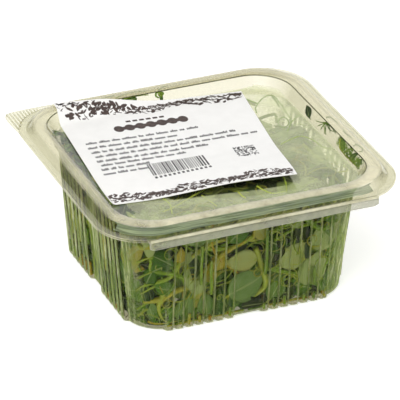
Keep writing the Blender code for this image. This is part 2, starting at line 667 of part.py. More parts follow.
class Grower:
    """Grows one shoot's pieces inside its cell."""

    def __init__(self, shoot, seed):
        self.shoot = shoot
        self.draw = random.Random(seed)
        self.pieces = []
        self.leaf_places = []

    def add_tube(self, centres, radii, sides, margin):
        """Adds a tube whose centre line is bent into the cell."""
        bent = [confine(centre, self.shoot, margin) for centre in centres]
        self.pieces.append(tube_mesh(bent, radii, sides))

    def add_leaf(self, base, along, up, length, stalk_radius, lean=0.0, rounded=0.75):
        """Adds an ovate leaf or stipule.

        Args:
            base: Where it joins its stalk.
            along: Its direction at the base.
            up: The way that its upper face looks.
            length: Its length.
            stalk_radius: Radius of the stalk that it is sunk into.
            lean: How much broader its outer half is, for a stipule.
            rounded: Below 1, its broadest place is nearer the base.
        """
        along, across, up = self.best_way(base, along.normalized(), up.normalized(), length)
        curl = self.draw.uniform(0.25, 0.8)
        cup = self.draw.uniform(0.1, 0.3)
        foot = base + along * stalk_radius * LEAF_SINK
        breadth = length * LEAF_BREADTH * self.draw.uniform(0.92, 1.08)

        def surface(u, v):
            half = breadth / 2 * (LEAF_BASE_SHARE * (1 - u) + math.sin(math.pi * u ** rounded) ** 0.85)
            half *= 1 + lean * v
            run = length * math.sin(curl * u) / curl
            drop = length * (1 - math.cos(curl * u)) / curl
            rise = cup * half * v * v - drop
            return confine(foot + along * run + across * half * v + up * rise, self.shoot, LEAF_MARGIN)

        self.pieces.append(blade_mesh(surface, LEAF_ROWS, LEAF_COLUMNS, LEAF_SHEET))

    def best_way(self, base, along, up, length):
        """The way for a leaf, of several, that is bent least and lies apart from the others."""
        best = None
        for index in range(LEAF_TRIES):
            swing = self.draw.uniform(-0.9, 0.9) if index else 0.0
            tilt = self.draw.uniform(-0.6, 0.6) if index else 0.0
            across = up.cross(along).normalized()
            turn = Matrix.Rotation(swing, 3, up) @ Matrix.Rotation(tilt, 3, across)
            way = turn @ along
            middle, end = base + way * length * 0.5, base + way * length
            cost = sum((confine(place, self.shoot, LEAF_MARGIN) - place).length for place in (middle, end))
            cost += sum(max(LEAF_SPACING - (middle - other).length, 0.0) for other in self.leaf_places)
            if best is None or cost < best[0]:
                best = (cost, way, (turn @ across).normalized(), middle)
        _, way, across, middle = best
        self.leaf_places.append(middle)
        return way, across, way.cross(across)

    def add_stalk(self, base, along, up):
        """Adds a leaf's stalk, which runs on as a tendril and then curls up.

        Returns:
            Where the leaflets join it, and its direction there.
        """
        turn = TENDRIL_TURN * self.draw.uniform(0.8, 1.2)
        reach = self.draw.uniform(*STALK_LENGTH) / STALK_STEPS
        centres = [base + along * reach * i + up * 0.6 * i * (i - 1) for i in range(STALK_STEPS + 1)]
        joint = centres[-1]
        heading = (centres[-1] - centres[-2]).normalized()
        joint_heading = heading.copy()
        step = TENDRIL_LENGTH / TENDRIL_STEPS
        for index in range(TENDRIL_STEPS):
            angle = turn * 2 * (index + 1) / (TENDRIL_STEPS * (TENDRIL_STEPS + 1))
            heading = Matrix.Rotation(angle, 3, up) @ heading
            centres.append(centres[-1] + (heading + up * 0.12) * step)
        self.add_tube(centres, STALK_RADII, STALK_SIDES, LEAF_MARGIN)
        return joint, joint_heading

    def add_leaf_node(self, place, heading, hand, stipules):
        """Adds a stalk with a pair of leaflets and a tendril, and a pair of stipules at its foot."""
        face = Vector(self.shoot.face).normalized()
        up = (face - heading * face.dot(heading)).normalized()
        up = Matrix.Rotation(self.draw.uniform(-0.45, 0.45), 3, heading) @ up
        side = heading.cross(up)
        for way in (-1, 1) if stipules else ():
            length = self.draw.uniform(*STIPULE_LENGTH)
            spread = self.draw.uniform(0.8, 1.1)
            along = heading * math.cos(spread) + side * way * math.sin(spread)
            self.add_leaf(place, along, up, length, STEM_RADII[1], 0.2 * way, 0.6)
        spread = self.draw.uniform(0.5, 0.9)
        along = (heading * math.cos(spread) + side * hand * math.sin(spread) + up * 0.5).normalized()
        joint, along = self.add_stalk(place, along, up * hand)
        side = along.cross(up).normalized()
        for way in (-1, 1):
            length = self.draw.uniform(*LEAFLET_LENGTH)
            spread = self.draw.uniform(0.75, 1.15)
            along_leaf = along * math.cos(spread) + side * way * math.sin(spread)
            self.add_leaf(joint, along_leaf, up, length, STALK_RADII[1])

    def grow(self):
        """Adds the stem, two leaf nodes and the pair of young leaves at its tip."""
        knots = [Vector(place) for place in self.shoot.route]
        centres = [curve_point(knots, i / STEM_STEPS) for i in range(STEM_STEPS + 1)]
        self.add_tube(centres, STEM_RADII, STEM_SIDES, STEM_RADII[0])
        for index, share in enumerate((0.42, 0.74)):
            place = curve_point(knots, share)
            heading = (curve_point(knots, share + 0.02) - place).normalized()
            self.add_leaf_node(place, heading, hand=-1 if index else 1, stipules=index == 0)
        tip = curve_point(knots, 1.0)
        heading = (tip - curve_point(knots, 0.96)).normalized()
        face = Vector(self.shoot.face).normalized()
        up = (face - heading * face.dot(heading)).normalized()
        side = heading.cross(up)
        for way in (-1, 1):
            self.add_leaf(tip - heading, heading + side * way * 0.6, up, TIP_LEAF_LENGTH, STEM_RADII[1])
        return self.pieces


def make_shoot(name, pieces, material):
    """Fuses a shoot's pieces into one body."""
    item = add_object(name, *pieces[0], material)
    fuse_onto(item, pieces[1:], solver="MANIFOLD")


def main():
    """Builds the tray, the lid, the label and the shoots."""
    remove_all()
    clear = make_material("clear_sheet", (0.86, 0.88, 0.8), 0.08, alpha=0.3)
    paper = make_material("label_paper", (0.9, 0.9, 0.88), 0.65)
    greens = [make_material(name, colour, 0.5) for name, colour in GREENS.items()]
    make_tray(clear)
    make_lid(clear)
    make_label(paper)
    for index, (name, shoot) in enumerate(SHOOTS.items()):
        pieces = Grower(shoot, seed=index + 31).grow()
        make_shoot(name, pieces, greens[index % len(greens)])


main()
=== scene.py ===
"""The look of a tray of pea shoot microgreens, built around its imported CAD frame.

Lengths are in millimetres and become metres where a mesh is made.  +Z is up, the
origin is the centre of the tray's foot, +X runs along the hinge and the hinge is
at -Y.
"""

import logging
import math
import random
from dataclasses import dataclass, field
from enum import Enum
from typing import NamedTuple, Sequence

import bmesh
import bpy
import numpy as np
from mathutils import Matrix, Vector


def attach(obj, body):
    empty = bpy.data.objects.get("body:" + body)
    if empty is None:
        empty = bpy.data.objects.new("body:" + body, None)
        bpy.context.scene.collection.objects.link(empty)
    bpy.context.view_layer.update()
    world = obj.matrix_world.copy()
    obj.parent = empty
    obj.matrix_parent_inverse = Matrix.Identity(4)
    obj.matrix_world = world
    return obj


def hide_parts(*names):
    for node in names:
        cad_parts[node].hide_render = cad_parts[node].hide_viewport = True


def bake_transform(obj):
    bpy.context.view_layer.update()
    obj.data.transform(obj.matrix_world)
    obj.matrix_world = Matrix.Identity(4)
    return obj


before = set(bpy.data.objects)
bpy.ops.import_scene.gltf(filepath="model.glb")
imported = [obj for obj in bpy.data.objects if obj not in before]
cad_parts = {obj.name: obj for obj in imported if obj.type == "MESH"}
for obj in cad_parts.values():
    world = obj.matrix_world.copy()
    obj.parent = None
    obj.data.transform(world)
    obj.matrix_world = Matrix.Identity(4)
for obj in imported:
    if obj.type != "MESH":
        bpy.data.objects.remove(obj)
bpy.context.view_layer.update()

MM = 0.001
ORIGIN = (0.0, 0.0, 0.0)
LOG = logging.getLogger("pea_shoot_tray")

Material = bpy.types.Material
Node = bpy.types.Node
Object = bpy.types.Object
Socket = bpy.types.NodeSocket
Tree = bpy.types.NodeTree


# Helpers for meshes and materials


def linear(hex_colour: str) -> tuple[float, float, float, float]:
    """Turns an sRGB hex colour into linear RGBA.

    Args:
        hex_colour: The colour as "#rrggbb".

    Returns:
        Linear red, green and blue, with an alpha of 1.
    """
    values = [int(hex_colour[index:index + 2], 16) / 255 for index in (1, 3, 5)]
    parts = [value / 12.92 if value <= 0.04045 else ((value + 0.055) / 1.055) ** 2.4 for value in values]
    return (*parts, 1.0)


def add_node(tree: Tree, kind: str, links: dict | None = None, **settings: object) -> Node:
    """Adds a shader node.

    Args:
        tree: The material's node tree.
        kind: The node's type, as Blender names it after "ShaderNode".
        links: Socket name or index, with the value, the output socket or the node that it gets. A node
            gives its first output.
        settings: The node's own properties.

    Returns:
        The new node.
    """
    node = tree.nodes.new("ShaderNode" + kind)
    for name, value in settings.items():
        setattr(node, name, value)
    for socket, source in (links or {}).items():
        if isinstance(source, Node):
            source = source.outputs[0]
        if isinstance(source, Socket):
            tree.links.new(source, node.inputs[socket])
        else:
            node.inputs[socket].default_value = source
    return node


def fill_ramp(node: Node, stops: Sequence[tuple[float, str]]) -> None:
    """Sets a colour ramp's stops, each a place from 0 to 1 and a hex colour."""
    ramp = node.color_ramp
    while len(ramp.elements) > len(stops):
        ramp.elements.remove(ramp.elements[-1])
    while len(ramp.elements) < len(stops):
        ramp.elements.new(1.0)
    for element, (place, colour) in zip(ramp.elements, stops):
        element.position = place
        element.color = linear(colour)


def new_material(name: str) -> tuple[Material, Tree]:
    """Makes an empty node material and returns it with its tree."""
    material = bpy.data.materials.new(name)
    material.use_nodes = True
    material.node_tree.nodes.clear()
    return material, material.node_tree


def deselect_all() -> None:
    """Leaves nothing selected, as the frame's nodes are after loading."""
    bpy.ops.object.select_all(action="DESELECT")


def activate(item: Object) -> None:
    """Selects one object alone and makes it the active one."""
    deselect_all()
    item.select_set(True)
    bpy.context.view_layer.objects.active = item


def apply_modifier(item: Object, kind: str, **settings: object) -> None:
    """Adds a modifier to an object and applies it."""
    activate(item)
    modifier = item.modifiers.new(kind.title(), kind)
    for name, value in settings.items():
        setattr(modifier, name, value)
    bpy.ops.object.modifier_apply(modifier=modifier.name)


def smooth(item: Object, angle: float) -> None:
    """Shades an object smooth where its faces meet at less than an angle in degrees."""
    activate(item)
    bpy.ops.object.shade_smooth_by_angle(angle=math.radians(angle))


def mark_bends(item: Object, full: float = 60.0) -> None:
    """Stores how sharply a sheet bends at each point, as the attribute `bend`, with 1 at a full bend."""
    shell = bmesh.new()
    shell.from_mesh(item.data)
    bends = [min(max(edge.calc_face_angle(0.0) for edge in vertex.link_edges) / math.radians(full), 1.0)
             for vertex in shell.verts]
    shell.free()
    item.data.attributes.new("bend", "FLOAT", "POINT").data.foreach_set("value", bends)


def add_mesh(name: str, points: Sequence, faces: Sequence, material: Material) -> Object:
    """Adds a mesh object from points in millimetres, with its faces turned outwards."""
    mesh = bpy.data.meshes.new(name)
    mesh.from_pydata([tuple(Vector(point) * MM) for point in points], [], faces)
    mesh.materials.append(material)
    item = bpy.data.objects.new(name, mesh)
    bpy.context.scene.collection.objects.link(item)
    return item


def grid_faces(lines: int, places: int) -> list[tuple[int, int, int, int]]:
    """Faces between neighbouring lines that each have the same number of places."""
    starts = [line * places + step for line in range(lines - 1) for step in range(places - 1)]
    return [(start, start + places, start + places + 1, start + 1) for start in starts]


def extrude_rings(name: str, rings: Sequence[Sequence], material: Material) -> Object:
    """Forms a sheet by hand: one face is extruded from its outer edge through ring after ring.

    Args:
        name: The object's name.
        rings: Rings with the same number of points, from the outer edge to the last face's.
        material: The sheet's material.

    Returns:
        The open sheet, with the last ring closed by one face.
    """
    deselect_all()
    bpy.ops.mesh.primitive_circle_add(vertices=len(rings[0]), radius=1.0, fill_type="NGON")
    item = bpy.context.active_object
    item.name = item.data.name = name
    bpy.ops.object.mode_set(mode="EDIT")
    bpy.ops.mesh.select_all(action="SELECT")
    for index, ring in enumerate(rings):
        if index:
            bpy.ops.mesh.extrude_region_move()
        shell = bmesh.from_edit_mesh(item.data)
        cap = next(face for face in shell.faces if face.select)
        for loop, place in zip(cap.loops, ring):
            loop.vert.co = Vector(place) * MM
        if index == 1:
            left_behind = [face for face in shell.faces if len(face.verts) > 4 and not face.select]
            bmesh.ops.delete(shell, geom=left_behind, context="FACES_ONLY")
        bmesh.update_edit_mesh(item.data)
    bpy.ops.object.mode_set(mode="OBJECT")
    item.data.materials.append(material)
    return item


def smooth_step(value: float) -> float:
    """An even rise from 0 to 1."""
    value = min(max(value, 0.0), 1.0)
    return value * value * (3 - 2 * value)


# Finishes


@dataclass(frozen=True)
class PaintedShadePatch:
    """A rounded patch of sheet with less veil, painted shade: by default none, under the label and just
    before its edge, where the lifted label shadows the lid's panel and is mirrored in it.
    """

    middle: tuple[float, float] = (1.7, 0.45)
    half: tuple[float, float] = (27.3, 36.0)
    turn: float = -6.7
    corner: float = 4.0
    soft: float = 0.35
    rest: float = 0.0

    def keep(self, tree: Tree, place: Socket) -> Node:
        """Adds the patch's outline.

        Args:
            tree: The material's nodes.
            place: Object coordinates.

        Returns:
            How much of the veil stays: `rest` inside the patch and 1 outside it.
        """
        local = add_node(tree, "Mapping", {
            "Vector": place, "Location": (self.middle[0] * MM, self.middle[1] * MM, 0.0),
            "Rotation": (0.0, 0.0, math.radians(self.turn))}, vector_type="TEXTURE")
        inner = [(half - self.corner) * MM for half in self.half]
        for operation, value in (("MULTIPLY", (1.0, 1.0, 0.0)), ("ABSOLUTE", ORIGIN),
                                 ("SUBTRACT", (*inner, 0.0)), ("MAXIMUM", ORIGIN)):
            local = add_node(tree, "VectorMath", {0: local, 1: value}, operation=operation)
        far = add_node(tree, "VectorMath", {0: local}, operation="LENGTH").outputs["Value"]
        return add_node(tree, "MapRange", {
            "Value": far, "From Min": (self.corner - self.soft) * MM,
            "From Max": (self.corner + self.soft) * MM, "To Min": self.rest})


@dataclass(frozen=True)
class ClearSheet:
    """PET sheet, vacuum formed: clear face on, with bright gloss where it is seen on edge, painted shade
    darkening its silhouettes and bends, a painted sheen at grazing angles and painted highlights along its
    bends.
    """

    name: str = "pet_vacuum_formed"
    veil: str = "#e0ddbe"
    # The see-through tint darkens towards grazing angles: painted shade along the sheet's silhouettes and
    # bends.
    stops: tuple = ((0.0, "#f7f6f1"), (0.5, "#efeee4"), (0.8, "#e2e1d2"), (0.93, "#cccbba"), (1.0, "#8a8b7a"))
    base_share: float = 0.003
    edge_gain: float = 1.0
    edge_power: float = 4.0
    # A pale veil along the sheet's bends, varied by the waves: painted highlights.
    bend_gain: float = 0.52
    bend_power: float = 4.0
    wave_scale: float = 60.0
    gleam_range: tuple[float, float] = (0.35, 0.62)
    patch_scale: float = 70.0
    patch_range: tuple[float, float] = (0.36, 0.64)
    haze_and_sheen: float = 0.0
    haze_and_sheen_low: float = 0.0
    # A pale veil that grows at grazing angles: painted sheen.
    milk_and_sheen: float = 0.12
    roughness: float = 0.07
    ripple: float = 0.12
    painted_streak_stops: tuple = ()
    painted_streak_gain: float = 0.0
    painted_streak_facing: tuple[float, float] = (0.25, 0.8)
    painted_streak_scale: tuple[float, float, float] = (640.0, 640.0, 38.0)
    painted_shade: PaintedShadePatch | None = None

    def build(self) -> Material:
        """Makes the material.

        Returns:
            See-through and gloss mixed by how the sheet faces, with a pale veil in patches (haze on the fold,
            painted reflection on the lid's panel, painted highlight on the bead's crest and the hinge's web)
            and pale bends, painted highlights.
        """
        material, tree = new_material(self.name)
        place = add_node(tree, "TexCoord").outputs["Object"]
        facing = add_node(tree, "LayerWeight", {"Blend": 0.5}).outputs["Facing"]
        waves = add_node(tree, "TexNoise", {"Vector": place, "Scale": self.wave_scale, "Detail": 2.0})
        bump = add_node(tree, "Bump", {"Height": waves, "Strength": self.ripple, "Distance": 0.0006})
        edge = add_node(tree, "Math", {0: facing, 1: self.edge_power}, operation="POWER")
        share = add_node(tree, "Math", {0: edge, 1: self.edge_gain, 2: self.base_share},
                         operation="MULTIPLY_ADD")
        # Painted shade: the see-through tint darkens as the sheet turns on edge.
        tint = add_node(tree, "ValToRGB", {0: facing})
        fill_ramp(tint, self.stops)
        through = add_node(tree, "BsdfTransparent", {"Color": tint})
        gloss = add_node(tree, "BsdfGlossy", {
            "Color": linear("#ffffff"), "Roughness": self.roughness, "Normal": bump})
        sheet = add_node(tree, "MixShader", {0: share, 1: through, 2: gloss})
        if self.painted_streak_stops:
            sheet = self.add_painted_streaks(tree, place, facing, sheet)
        patch_veil = self.add_patch_veil(tree, place)
        veil = add_node(tree, "Math", {0: edge, 1: self.milk_and_sheen, 2: patch_veil}, operation="MULTIPLY_ADD")
        # Painted highlights: the pale veil grows along the bends.
        bend = add_node(tree, "Attribute", attribute_name="bend").outputs["Fac"]
        bend = add_node(tree, "Math", {0: bend, 1: self.bend_power}, operation="POWER")
        gleam = add_node(tree, "MapRange", {
            "Value": waves, "From Min": self.gleam_range[0], "From Max": self.gleam_range[1],
            "To Min": 0.25 * self.bend_gain, "To Max": self.bend_gain})
        veil = add_node(tree, "Math", {0: bend, 1: gleam, 2: veil}, operation="MULTIPLY_ADD", use_clamp=True)
        # The veil's pale diffuse colour carries the painted sheen, the painted highlights and the patch veil.
        milk_and_sheen = add_node(tree, "BsdfDiffuse", {"Color": linear(self.veil)})
        mixed = add_node(tree, "MixShader", {0: veil, 1: sheet, 2: milk_and_sheen})
        add_node(tree, "OutputMaterial", {"Surface": mixed})
        return material

    def add_patch_veil(self, tree: Tree, place: Socket) -> Node:
        """Adds a pale veil in patches about 14 mm across: haze on the fold, painted reflection on the lid's
        panel and painted highlight on the bead's crest and the hinge's web.

        Args:
            tree: The material's nodes.
            place: Object coordinates.

        Returns:
            How much of the sheet the veil hides.
        """
        patches = add_node(tree, "TexNoise", {
            "Vector": place, "Scale": self.patch_scale, "Detail": 5.0, "Roughness": 0.65})
        patch_veil = add_node(tree, "MapRange", {
            "Value": patches, "From Min": self.patch_range[0], "From Max": self.patch_range[1],
            "To Min": self.haze_and_sheen_low, "To Max": self.haze_and_sheen})
        if self.painted_shade:
            patch_veil = add_node(tree, "Math", {0: patch_veil, 1: self.painted_shade.keep(tree, place)}, operation="MULTIPLY")
        return patch_veil

    def add_painted_streaks(self, tree: Tree, place: Socket, facing: Socket, sheet: Node) -> Node:
        """Adds painted streaks: colour that stands in for the greens that flutes and beads refract into
        streaks, with painted highlights among them.

        Args:
            tree: The material's nodes.
            place: Object coordinates.
            facing: How far the sheet is turned away.
            sheet: The sheet without streaks.

        Returns:
            The sheet with streaks: upright on the flutes, 1.5 mm wide and 25 mm tall, and level on a bead.
        """
        drawn = add_node(tree, "VectorMath", {0: place, 1: self.painted_streak_scale}, operation="MULTIPLY")
        streak = add_node(tree, "TexNoise", {"Vector": drawn, "Scale": 1.0, "Detail": 3.0, "Roughness": 0.6})
        ramp = add_node(tree, "ValToRGB", {0: streak})
        fill_ramp(ramp, self.painted_streak_stops)
        share = add_node(tree, "MapRange", {
            "Value": facing, "From Min": self.painted_streak_facing[0], "From Max": self.painted_streak_facing[1],
            "To Max": self.painted_streak_gain})
        painted_streak_shader = add_node(tree, "BsdfDiffuse", {"Color": ramp})
        return add_node(tree, "MixShader", {0: share, 1: sheet, 2: painted_streak_shader})


@dataclass(frozen=True)
class LabelPaper:
    """Self-adhesive label paper, matt coated: near white, with the faintest mottle."""

    name: str = "label_paper_matt_coated"
    light: str = "#f7f6f3"
    shade: str = "#f3f2ef"
    roughness: float = 0.55

    def build(self) -> Material:
        """Makes the material.

        Returns:
            Paper with a mottle about 6 mm across and a fibre as fine as the render shows.
        """
        material, tree = new_material(self.name)
        place = add_node(tree, "TexCoord").outputs["Object"]
        mottle = add_node(tree, "TexNoise", {"Vector": place, "Scale": 160.0, "Detail": 3.0})
        ramp = add_node(tree, "ValToRGB", {0: mottle})
        fill_ramp(ramp, ((0.35, self.shade), (0.65, self.light)))
        fibre = add_node(tree, "TexNoise", {"Vector": place, "Scale": 2500.0, "Detail": 2.0})
        bump = add_node(tree, "Bump", {"Height": fibre, "Strength": 0.08, "Distance": 0.0001})
        shader = add_node(tree, "BsdfPrincipled", {
            "Base Color": ramp, "Roughness": self.roughness, "Normal": bump})
        add_node(tree, "OutputMaterial", {"Surface": shader})
        return material


@dataclass(frozen=True)
class PrintInk:
    """Thermal print or offset ink on paper: flat, dark and slightly uneven where it is thin."""

    name: str
    colour: str
    thin: str
    roughness: float = 0.6

    def build(self) -> Material:
        """Makes the material.

        Returns:
            Ink with thin spots about 1 mm across.
        """
        material, tree = new_material(self.name)
        place = add_node(tree, "TexCoord").outputs["Object"]
        spots = add_node(tree, "TexNoise", {"Vector": place, "Scale": 900.0, "Detail": 2.0})
        ramp = add_node(tree, "ValToRGB", {0: spots})
        fill_ramp(ramp, ((0.45, self.colour), (0.75, self.thin)))
        shader = add_node(tree, "BsdfPrincipled", {"Base Color": ramp, "Roughness": self.roughness})
        add_node(tree, "OutputMaterial", {"Surface": shader})
        return material


def add_toned_ramp(tree: Tree, patches: Node, swing: float, stops: Sequence[tuple[float, str]]) -> Node:
    """Adds a colour ramp that reads each leaf's or stem's own tone, shifted a little in patches.

    Args:
        tree: The material's nodes.
        patches: The noise that shifts the tone.
        swing: How far it shifts it, from end to end.
        stops: The ramp's stops.

    Returns:
        The ramp.
    """
    tone = add_node(tree, "Attribute", attribute_name="tone").outputs["Fac"]
    shift = add_node(tree, "Math", {0: patches, 1: swing, 2: -swing / 2}, operation="MULTIPLY_ADD")
    shifted = add_node(tree, "Math", {0: tone, 1: shift}, operation="ADD", use_clamp=True)
    ramp = add_node(tree, "ValToRGB", {0: shifted})
    fill_ramp(ramp, stops)
    return ramp


@dataclass(frozen=True)
class LeafGreen:
    """Fresh pea leaf: waxy, with a pale bloom, paler veins, and light that comes through it."""

    name: str = "pea_leaf_waxy"
    stops: tuple = ((0.0, "#0a1205"), (0.12, "#183410"), (0.28, "#2d5c17"), (0.45, "#5a8c26"),
                    (0.6, "#86aa62"), (0.8, "#bccf8a"), (1.0, "#c1b334"))
    vein: str = "#b9cf8a"
    glow: str = "#a3c52f"
    roughness: float = 0.34
    sheen: float = 0.22
    through: float = 0.2
    side_veins: float = 9.0
    vein_slant: float = 0.9

    def build(self) -> Material:
        """Makes the material.

        Returns:
            Leaf green, from each leaf's tone and its UV map, where V runs along the leaf.
        """
        material, tree = new_material(self.name)
        place = add_node(tree, "TexCoord").outputs["Object"]
        blotch = add_node(tree, "TexNoise", {"Vector": place, "Scale": 220.0, "Detail": 3.0})
        ramp = add_toned_ramp(tree, blotch, 0.22, self.stops)
        veins = self.add_veins(tree)
        colour = add_node(tree, "Mix", {0: veins, 6: ramp, 7: linear(self.vein)}, data_type="RGBA").outputs[2]
        bump = add_node(tree, "Bump", {"Height": veins, "Strength": 0.25, "Distance": 0.0003})
        face = add_node(tree, "BsdfPrincipled", {
            "Base Color": colour, "Roughness": self.roughness, "Specular IOR Level": self.sheen,
            "Normal": bump})
        lit = add_node(tree, "Mix", {0: 0.5, 6: ramp, 7: linear(self.glow)}, data_type="RGBA").outputs[2]
        back = add_node(tree, "BsdfTranslucent", {"Color": lit})
        mixed = add_node(tree, "MixShader", {0: self.through, 1: face, 2: back})
        add_node(tree, "OutputMaterial", {"Surface": mixed})
        return material

    def add_veins(self, tree: Tree) -> Node:
        """Adds the midrib and the slanting side veins.

        Args:
            tree: The material's nodes.

        Returns:
            How pale the veins make the leaf.
        """
        parts = add_node(tree, "SeparateXYZ", {0: add_node(tree, "UVMap", uv_map="UVMap")})
        off_middle = add_node(tree, "Math", {0: parts, 1: 0.5}, operation="SUBTRACT")
        off_middle = add_node(tree, "Math", {0: off_middle}, operation="ABSOLUTE")
        midrib = add_node(tree, "MapRange", {
            "Value": off_middle, "From Min": 0.015, "From Max": 0.05, "To Min": 0.8, "To Max": 0.0})
        slant = add_node(tree, "Math", {0: off_middle, 1: -self.vein_slant, 2: parts.outputs["Y"]},
                         operation="MULTIPLY_ADD")
        wave = add_node(tree, "Math", {0: slant, 1: self.side_veins * 2 * math.pi}, operation="MULTIPLY")
        wave = add_node(tree, "Math", {0: wave}, operation="COSINE")
        side = add_node(tree, "MapRange", {"Value": wave, "From Min": 0.88, "To Max": 0.4})
        return add_node(tree, "Math", {0: midrib, 1: side}, operation="MAXIMUM")


@dataclass(frozen=True)
class StemGreen:
    """Fresh pea stem and tendril: juicy, smooth and yellow-green, turning straw yellow at the cut."""

    name: str = "pea_stem_fresh"
    stops: tuple = ((0.0, "#48701a"), (0.35, "#88ac30"), (0.7, "#b9c552"), (0.9, "#b3a52c"), (1.0, "#a9830f"))
    roughness: float = 0.36
    sheen: float = 0.3
    depth: tuple[float, float, float] = (0.002, 0.003, 0.0005)

    def build(self) -> Material:
        """Makes the material.

        Returns:
            Stem green, from each stem's tone, with streaks about 2 mm apart.
        """
        material, tree = new_material(self.name)
        place = add_node(tree, "TexCoord").outputs["Object"]
        streak = add_node(tree, "TexNoise", {"Vector": place, "Scale": 450.0, "Detail": 2.0})
        ramp = add_toned_ramp(tree, streak, 0.4, self.stops)
        bump = add_node(tree, "Bump", {"Height": streak, "Strength": 0.15, "Distance": 0.0003})
        shader = add_node(tree, "BsdfPrincipled", {
            "Base Color": ramp, "Roughness": self.roughness, "Normal": bump, "Specular IOR Level": self.sheen,
            "Subsurface Weight": 0.15, "Subsurface Radius": self.depth})
        add_node(tree, "OutputMaterial", {"Surface": shader})
        return material


@dataclass(frozen=True)
class Backdrop:
    """Matt white studio sweep, lit until it is pure white."""

    name: str = "studio_sweep_white"
    colour: str = "#fbfbfb"
    glow: float = 0.45
    roughness: float = 0.9

    def build(self) -> Material:
        """Makes the material.

        Returns:
            The sweep's white.
        """
        material, tree = new_material(self.name)
        shader = add_node(tree, "BsdfPrincipled", {
            "Base Color": linear(self.colour), "Roughness": self.roughness,
            "Emission Color": linear("#ffffff"), "Emission Strength": self.glow})
        add_node(tree, "OutputMaterial", {"Surface": shader})
        return material


# Painted reflection: a pale veil in patches on the lid's panel, the bright studio mirrored in it, cut away as
# painted shade under the label's lifted edge.
REFLECTING_PANEL = ClearSheet(name="pet_panel_painted_reflection", haze_and_sheen=0.34, haze_and_sheen_low=0.12, veil="#e8efbf",
                          painted_shade=PaintedShadePatch())
# Painted shade: a dark see-through tint along the bead's inner bend, without the veil.
SHADED_BEND = ClearSheet(name="pet_bend_painted_shade", stops=((0.0, "#8b8c7a"), (1.0, "#77786a")), bend_gain=0.0,
                       milk_and_sheen=0.0, edge_gain=0.2)
HAZED_FOLD = ClearSheet(name="pet_fold_hazed", haze_and_sheen=0.56, haze_and_sheen_low=0.26, veil="#b6b7a4")
# Painted highlight: a pale cream veil along the hinge's web.
HIGHLIT_WEB = ClearSheet(name="pet_web_painted_highlight", haze_and_sheen=0.62, haze_and_sheen_low=0.2, veil="#ebe8cd")
# Painted streaks on the fluted wall: colour for the greens that the flutes refract into upright streaks, with
# cream painted highlights, and pale painted highlights on the bends.
FLUTED_WALL = ClearSheet(
    name="pet_fluted_wall", painted_streak_gain=0.8, edge_gain=0.6, bend_gain=0.36,
    painted_streak_stops=((0.3, "#18260a"), (0.4, "#4d691a"), (0.48, "#8fa03c"), (0.53, "#4f6b1e"), (0.6, "#d9dcab"),
           (0.66, "#7d8f30"), (0.74, "#b08e24")))
# Painted highlight: a cream veil on the bead's crest, full along the hinge side and weaker inside the patch.
BEAD_CREST = ClearSheet(
    name="pet_bead_crest_painted_highlight", haze_and_sheen=0.58, haze_and_sheen_low=0.24, veil="#f6f0d6",
    painted_shade=PaintedShadePatch(middle=(0.0, 22.0), half=(90.0, 72.0), turn=0.0, corner=9.0, soft=8.0, rest=0.42))
# Painted streaks: level lines of greens and pale highlights along the bead's outer slope on the hinge side.
BEAD_SIDE = ClearSheet(
    name="pet_bead_painted_streaks", painted_streak_gain=0.72, painted_streak_facing=(-1.0, -0.5), painted_streak_scale=(14.0, 14.0, 1300.0),
    painted_streak_stops=((0.3, "#454f38"), (0.4, "#8f9a86"), (0.47, "#606c50"), (0.53, "#a9b594"), (0.58, "#566248"),
           (0.66, "#d5d8b8")))
BROWN_INK = PrintInk("print_brown_offset", "#41332e", "#5a4a43")
BLACK_INK = PrintInk("print_black_thermal", "#2f2c2d", "#6a6768")


# The formed tray and its lid


SIDE_DIFFERENCE = 2.9
FOOT = (50.0, 17.7)
WALL = (54.2, 16.3)
FLANGE = (67.0, 22.5)
WALL_TOP = 52.2


def wall_at(height: float) -> tuple[float, float]:
    """Half length and corner radius of the wall's crests at a height."""
    share = height / WALL_TOP
    return FOOT[0] + (WALL[0] - FOOT[0]) * share, FOOT[1] + (WALL[1] - FOOT[1]) * share


def radius_of(half: float) -> float:
    """Corner radius of the rim's outline with this half length."""
    share = (half - WALL[0]) / (FLANGE[0] - WALL[0])
    return WALL[1] + (FLANGE[1] - WALL[1]) * max(share, 0.0)


def side_depth(place: float, half_along: float, half_across: float, radius: float) -> float:
    """How far out a rounded rectangle's side lies at a place along it."""
    past = abs(place) - (half_along - radius)
    if past <= 0:
        return half_across
    return half_across - radius + math.sqrt(max(radius * radius - past * past, 0.0))


@dataclass(frozen=True)
class Level:
    """One ring of a formed sheet."""

    half: float
    height: float
    radius: float
    relief: float = 0.0
    spread: float = 1.0
    square_corner: float = 0.0


